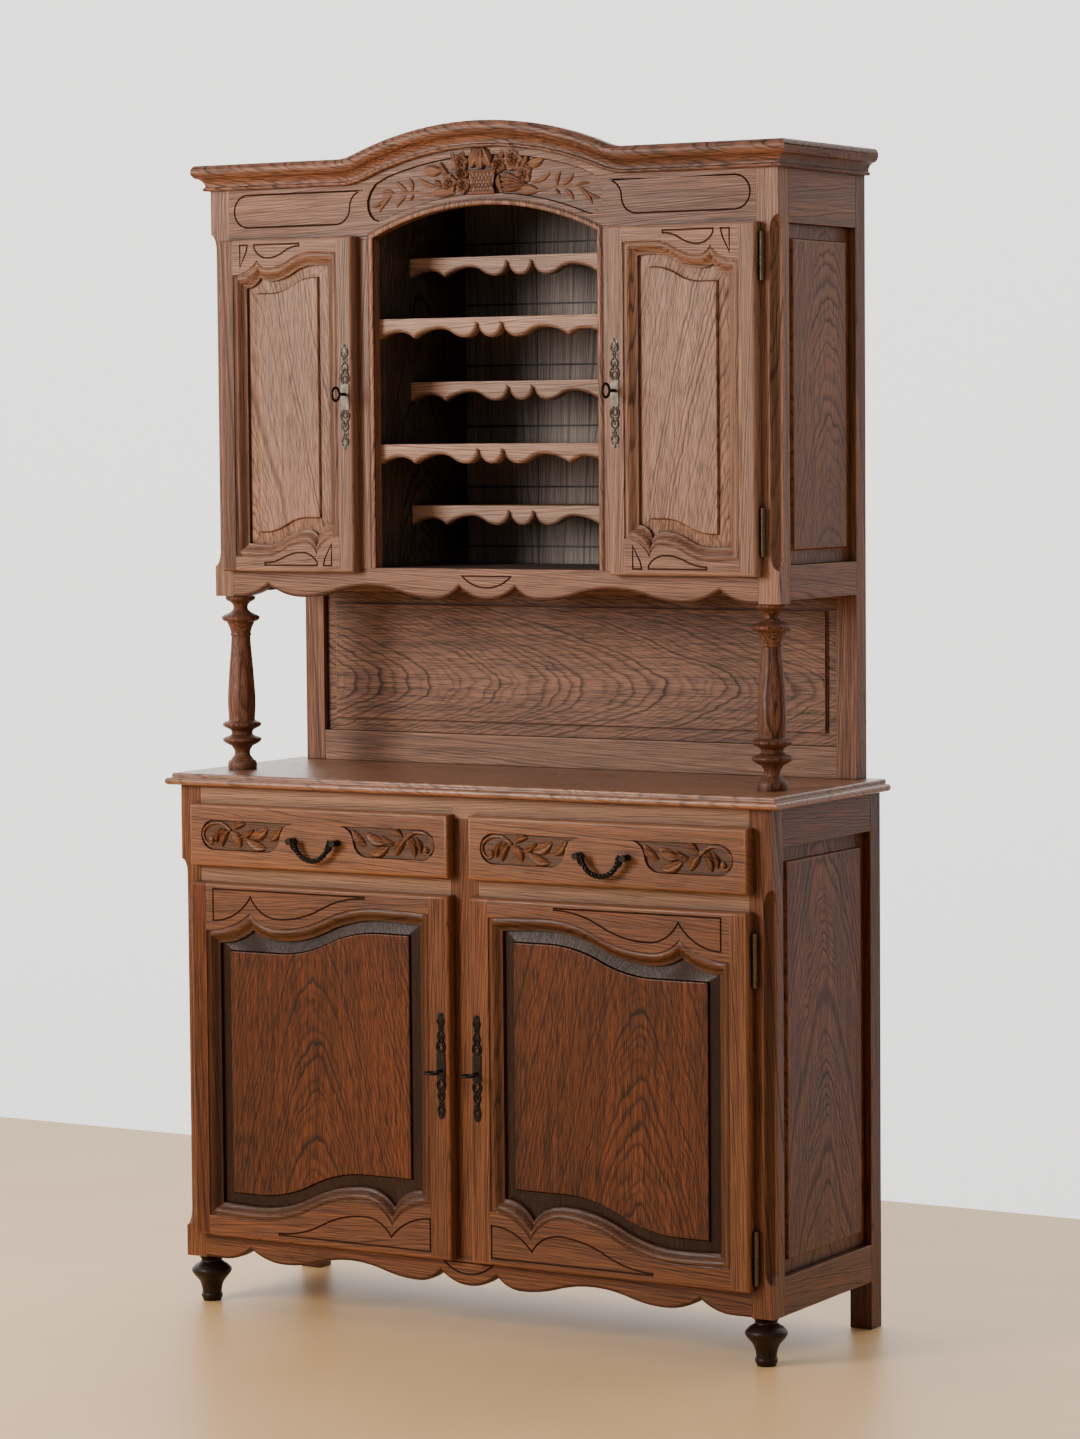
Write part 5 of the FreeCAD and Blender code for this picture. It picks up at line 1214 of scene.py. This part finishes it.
def drawerBail(side):
    # Three strands twisted along a hanging bow, with a leaf over each end and a pin into each post
    look = bailSettings
    low, high = nodeBox("right_drawer_bail")
    middle = (low.x + high.x) / 2
    bm = startMesh()
    radius = (look["span"] ** 2 + look["drop"] ** 2) / (2 * look["drop"])
    sweep = math.atan2(look["span"], radius - look["drop"])
    y, pivot = (low.y + high.y) / 2, low.z + look["lift"] + look["drop"]
    for strand in range(look["strands"]):
        line = []
        for step in range(look["steps"] + 1):
            turn = sweep * (2 * step / look["steps"] - 1)
            twist = 2 * math.pi * (radius * turn / look["pitch"] + strand / look["strands"])
            out = radius + look["off"] * math.cos(twist)
            z = pivot - look["drop"] + radius - out * math.cos(turn)
            line.append((middle + out * math.sin(turn), z, y + look["off"] * math.sin(twist)))
        addStem(bm, line, look["wire"], y, False)
    leaf, reach = look["leaf"], (high.x - low.x) / 2
    for way in (1, -1):
        root, tip = [(middle + way * across, pivot + up) for across, up in (leaf["root"], leaf["tip"])]
        addLeaf(bm, root, tip, leaf["width"], leaf["rise"], leaf["bend"] * way, y)
        pin = [(middle + way * share * reach, pivot) for share in look["pinShares"]]
        addStem(bm, pin, look["pin"], y, False)
    finishPiece(bm, f"{side}_drawer_bail", flip=side == "left")


for side in ("right", "left"):
    for level in ("base", "upper"):
        lockPlate(side, level)
    drawerBail(side)
print("metalwork built")


# Everything else keeps its CAD form, with rubbed edges

rubbedOf = {"worktop": -0.2, "cornice": 0.25}  # the cornice keeps its wax
built = {name for piece in bpy.data.objects for name in piece.get("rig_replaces", [])}
for node in frame["nodes"]:
    if node not in built:
        if slotOf[node] in ("iron", "pewter", "hinge_brass"):
            softCopy(node, edge=0.5, rubbed=0)
        else:
            softCopy(node, edge=1.3, rubbed=rubbedOf.get(node, -0.45))
print("other nodes finished")


# Camera, light and floor

cameraSettings = {"place": (3.986, -6.6028, 1.6269), "yaw": 0.5369, "pitch": -0.0676, "roll": 0.0084,
                  "lens": 105.75}


def setCamera():
    look = cameraSettings
    yaw, pitch, roll = look["yaw"], look["pitch"], look["roll"]
    level = Vector((math.cos(yaw), math.sin(yaw), 0))
    forward = Vector((-math.sin(yaw), math.cos(yaw), 0))
    upright = Vector((0, 0, 1))
    ahead = forward * math.cos(pitch) + upright * math.sin(pitch)
    above = upright * math.cos(pitch) - forward * math.sin(pitch)
    right = level * math.cos(roll) - above * math.sin(roll)
    over = level * math.sin(roll) + above * math.cos(roll)
    data = bpy.data.cameras.new("camera")
    data.lens = look["lens"]
    data.sensor_width = 36
    camera = addObject("camera", data)
    turn = Matrix((right, over, -ahead)).transposed().to_4x4()
    camera.matrix_world = Matrix.Translation(look["place"]) @ turn
    bpy.context.scene.camera = camera


def addLight(name, place, aim, size, power, colour):
    data = bpy.data.lights.new(name, "AREA")
    data.shape = "RECTANGLE"
    data.size, data.size_y = size
    data.energy = power
    data.color = linear(colour)[:3]
    light = addObject(name, data)
    light.location = place
    light.rotation_euler = (Vector(aim) - Vector(place)).to_track_quat("-Z", "Y").to_euler()


stageSettings = {"reach": 9, "wallLine": 1.38, "wallWay": (-0.5, 0.72, 0.48), "front": 0.4, "back": 2.85}


def setStage():
    # Pale lacquered boards with a dull sheen: slow tone changes 400 mm wide
    look = stageSettings
    material, tree, shader = newMaterial("pale matt lacquer floor")
    place = addNode(tree, "TexCoord", out="Object")
    tone = addNode(tree, "TexNoise", {"Vector": place, "Scale": 1 / 0.4, "Detail": 2}, out="Fac")
    colour = addNode(tree, "Mix", {0: tone, 6: linear("#deaf75"), 7: linear("#eac18a")},
                     data_type="RGBA", out=2)
    setInputs(tree, shader, {"Base Color": colour, "Roughness": 0.42})
    bm = bmesh.new()
    bmesh.ops.create_grid(bm, x_segments=1, y_segments=1, size=look["reach"])
    bmesh.ops.translate(bm, vec=(0, look["wallLine"] - look["reach"], 0), verts=bm.verts)
    mesh = bpy.data.meshes.new("floor")
    bm.to_mesh(mesh)
    bm.free()
    mesh.materials.append(material)
    floor = addObject("floor", mesh)
    # A white wall's light from behind, a dimmer room in front
    world = bpy.data.worlds.new("studio")
    world.use_nodes = True
    sky = world.node_tree
    way = addNode(sky, "TexCoord", out="Generated")
    depth = addNode(sky, "VectorMath", {0: way, 1: look["wallWay"]}, operation="DOT_PRODUCT", out="Value")
    power = addNode(sky, "MapRange", {0: depth, 1: 0.2, 2: 0.95, 3: look["front"], 4: look["back"]},
                    interpolation_type="SMOOTHSTEP")
    setInputs(sky, sky.nodes["Background"], {"Color": linear("#e6e3e0"), "Strength": power})
    bpy.context.scene.world = world
    addLight("window", (-2.1, -3.7, 2.4), (0, 0, 1.4), (1.3, 1.9), 190, "#fff6ec")
    addLight("room", (3.6, -3.4, 3.0), (0.2, 0, 1.2), (2.4, 2.4), 15, "#fff9f2")


setCamera()
setStage()
print("scene ready")
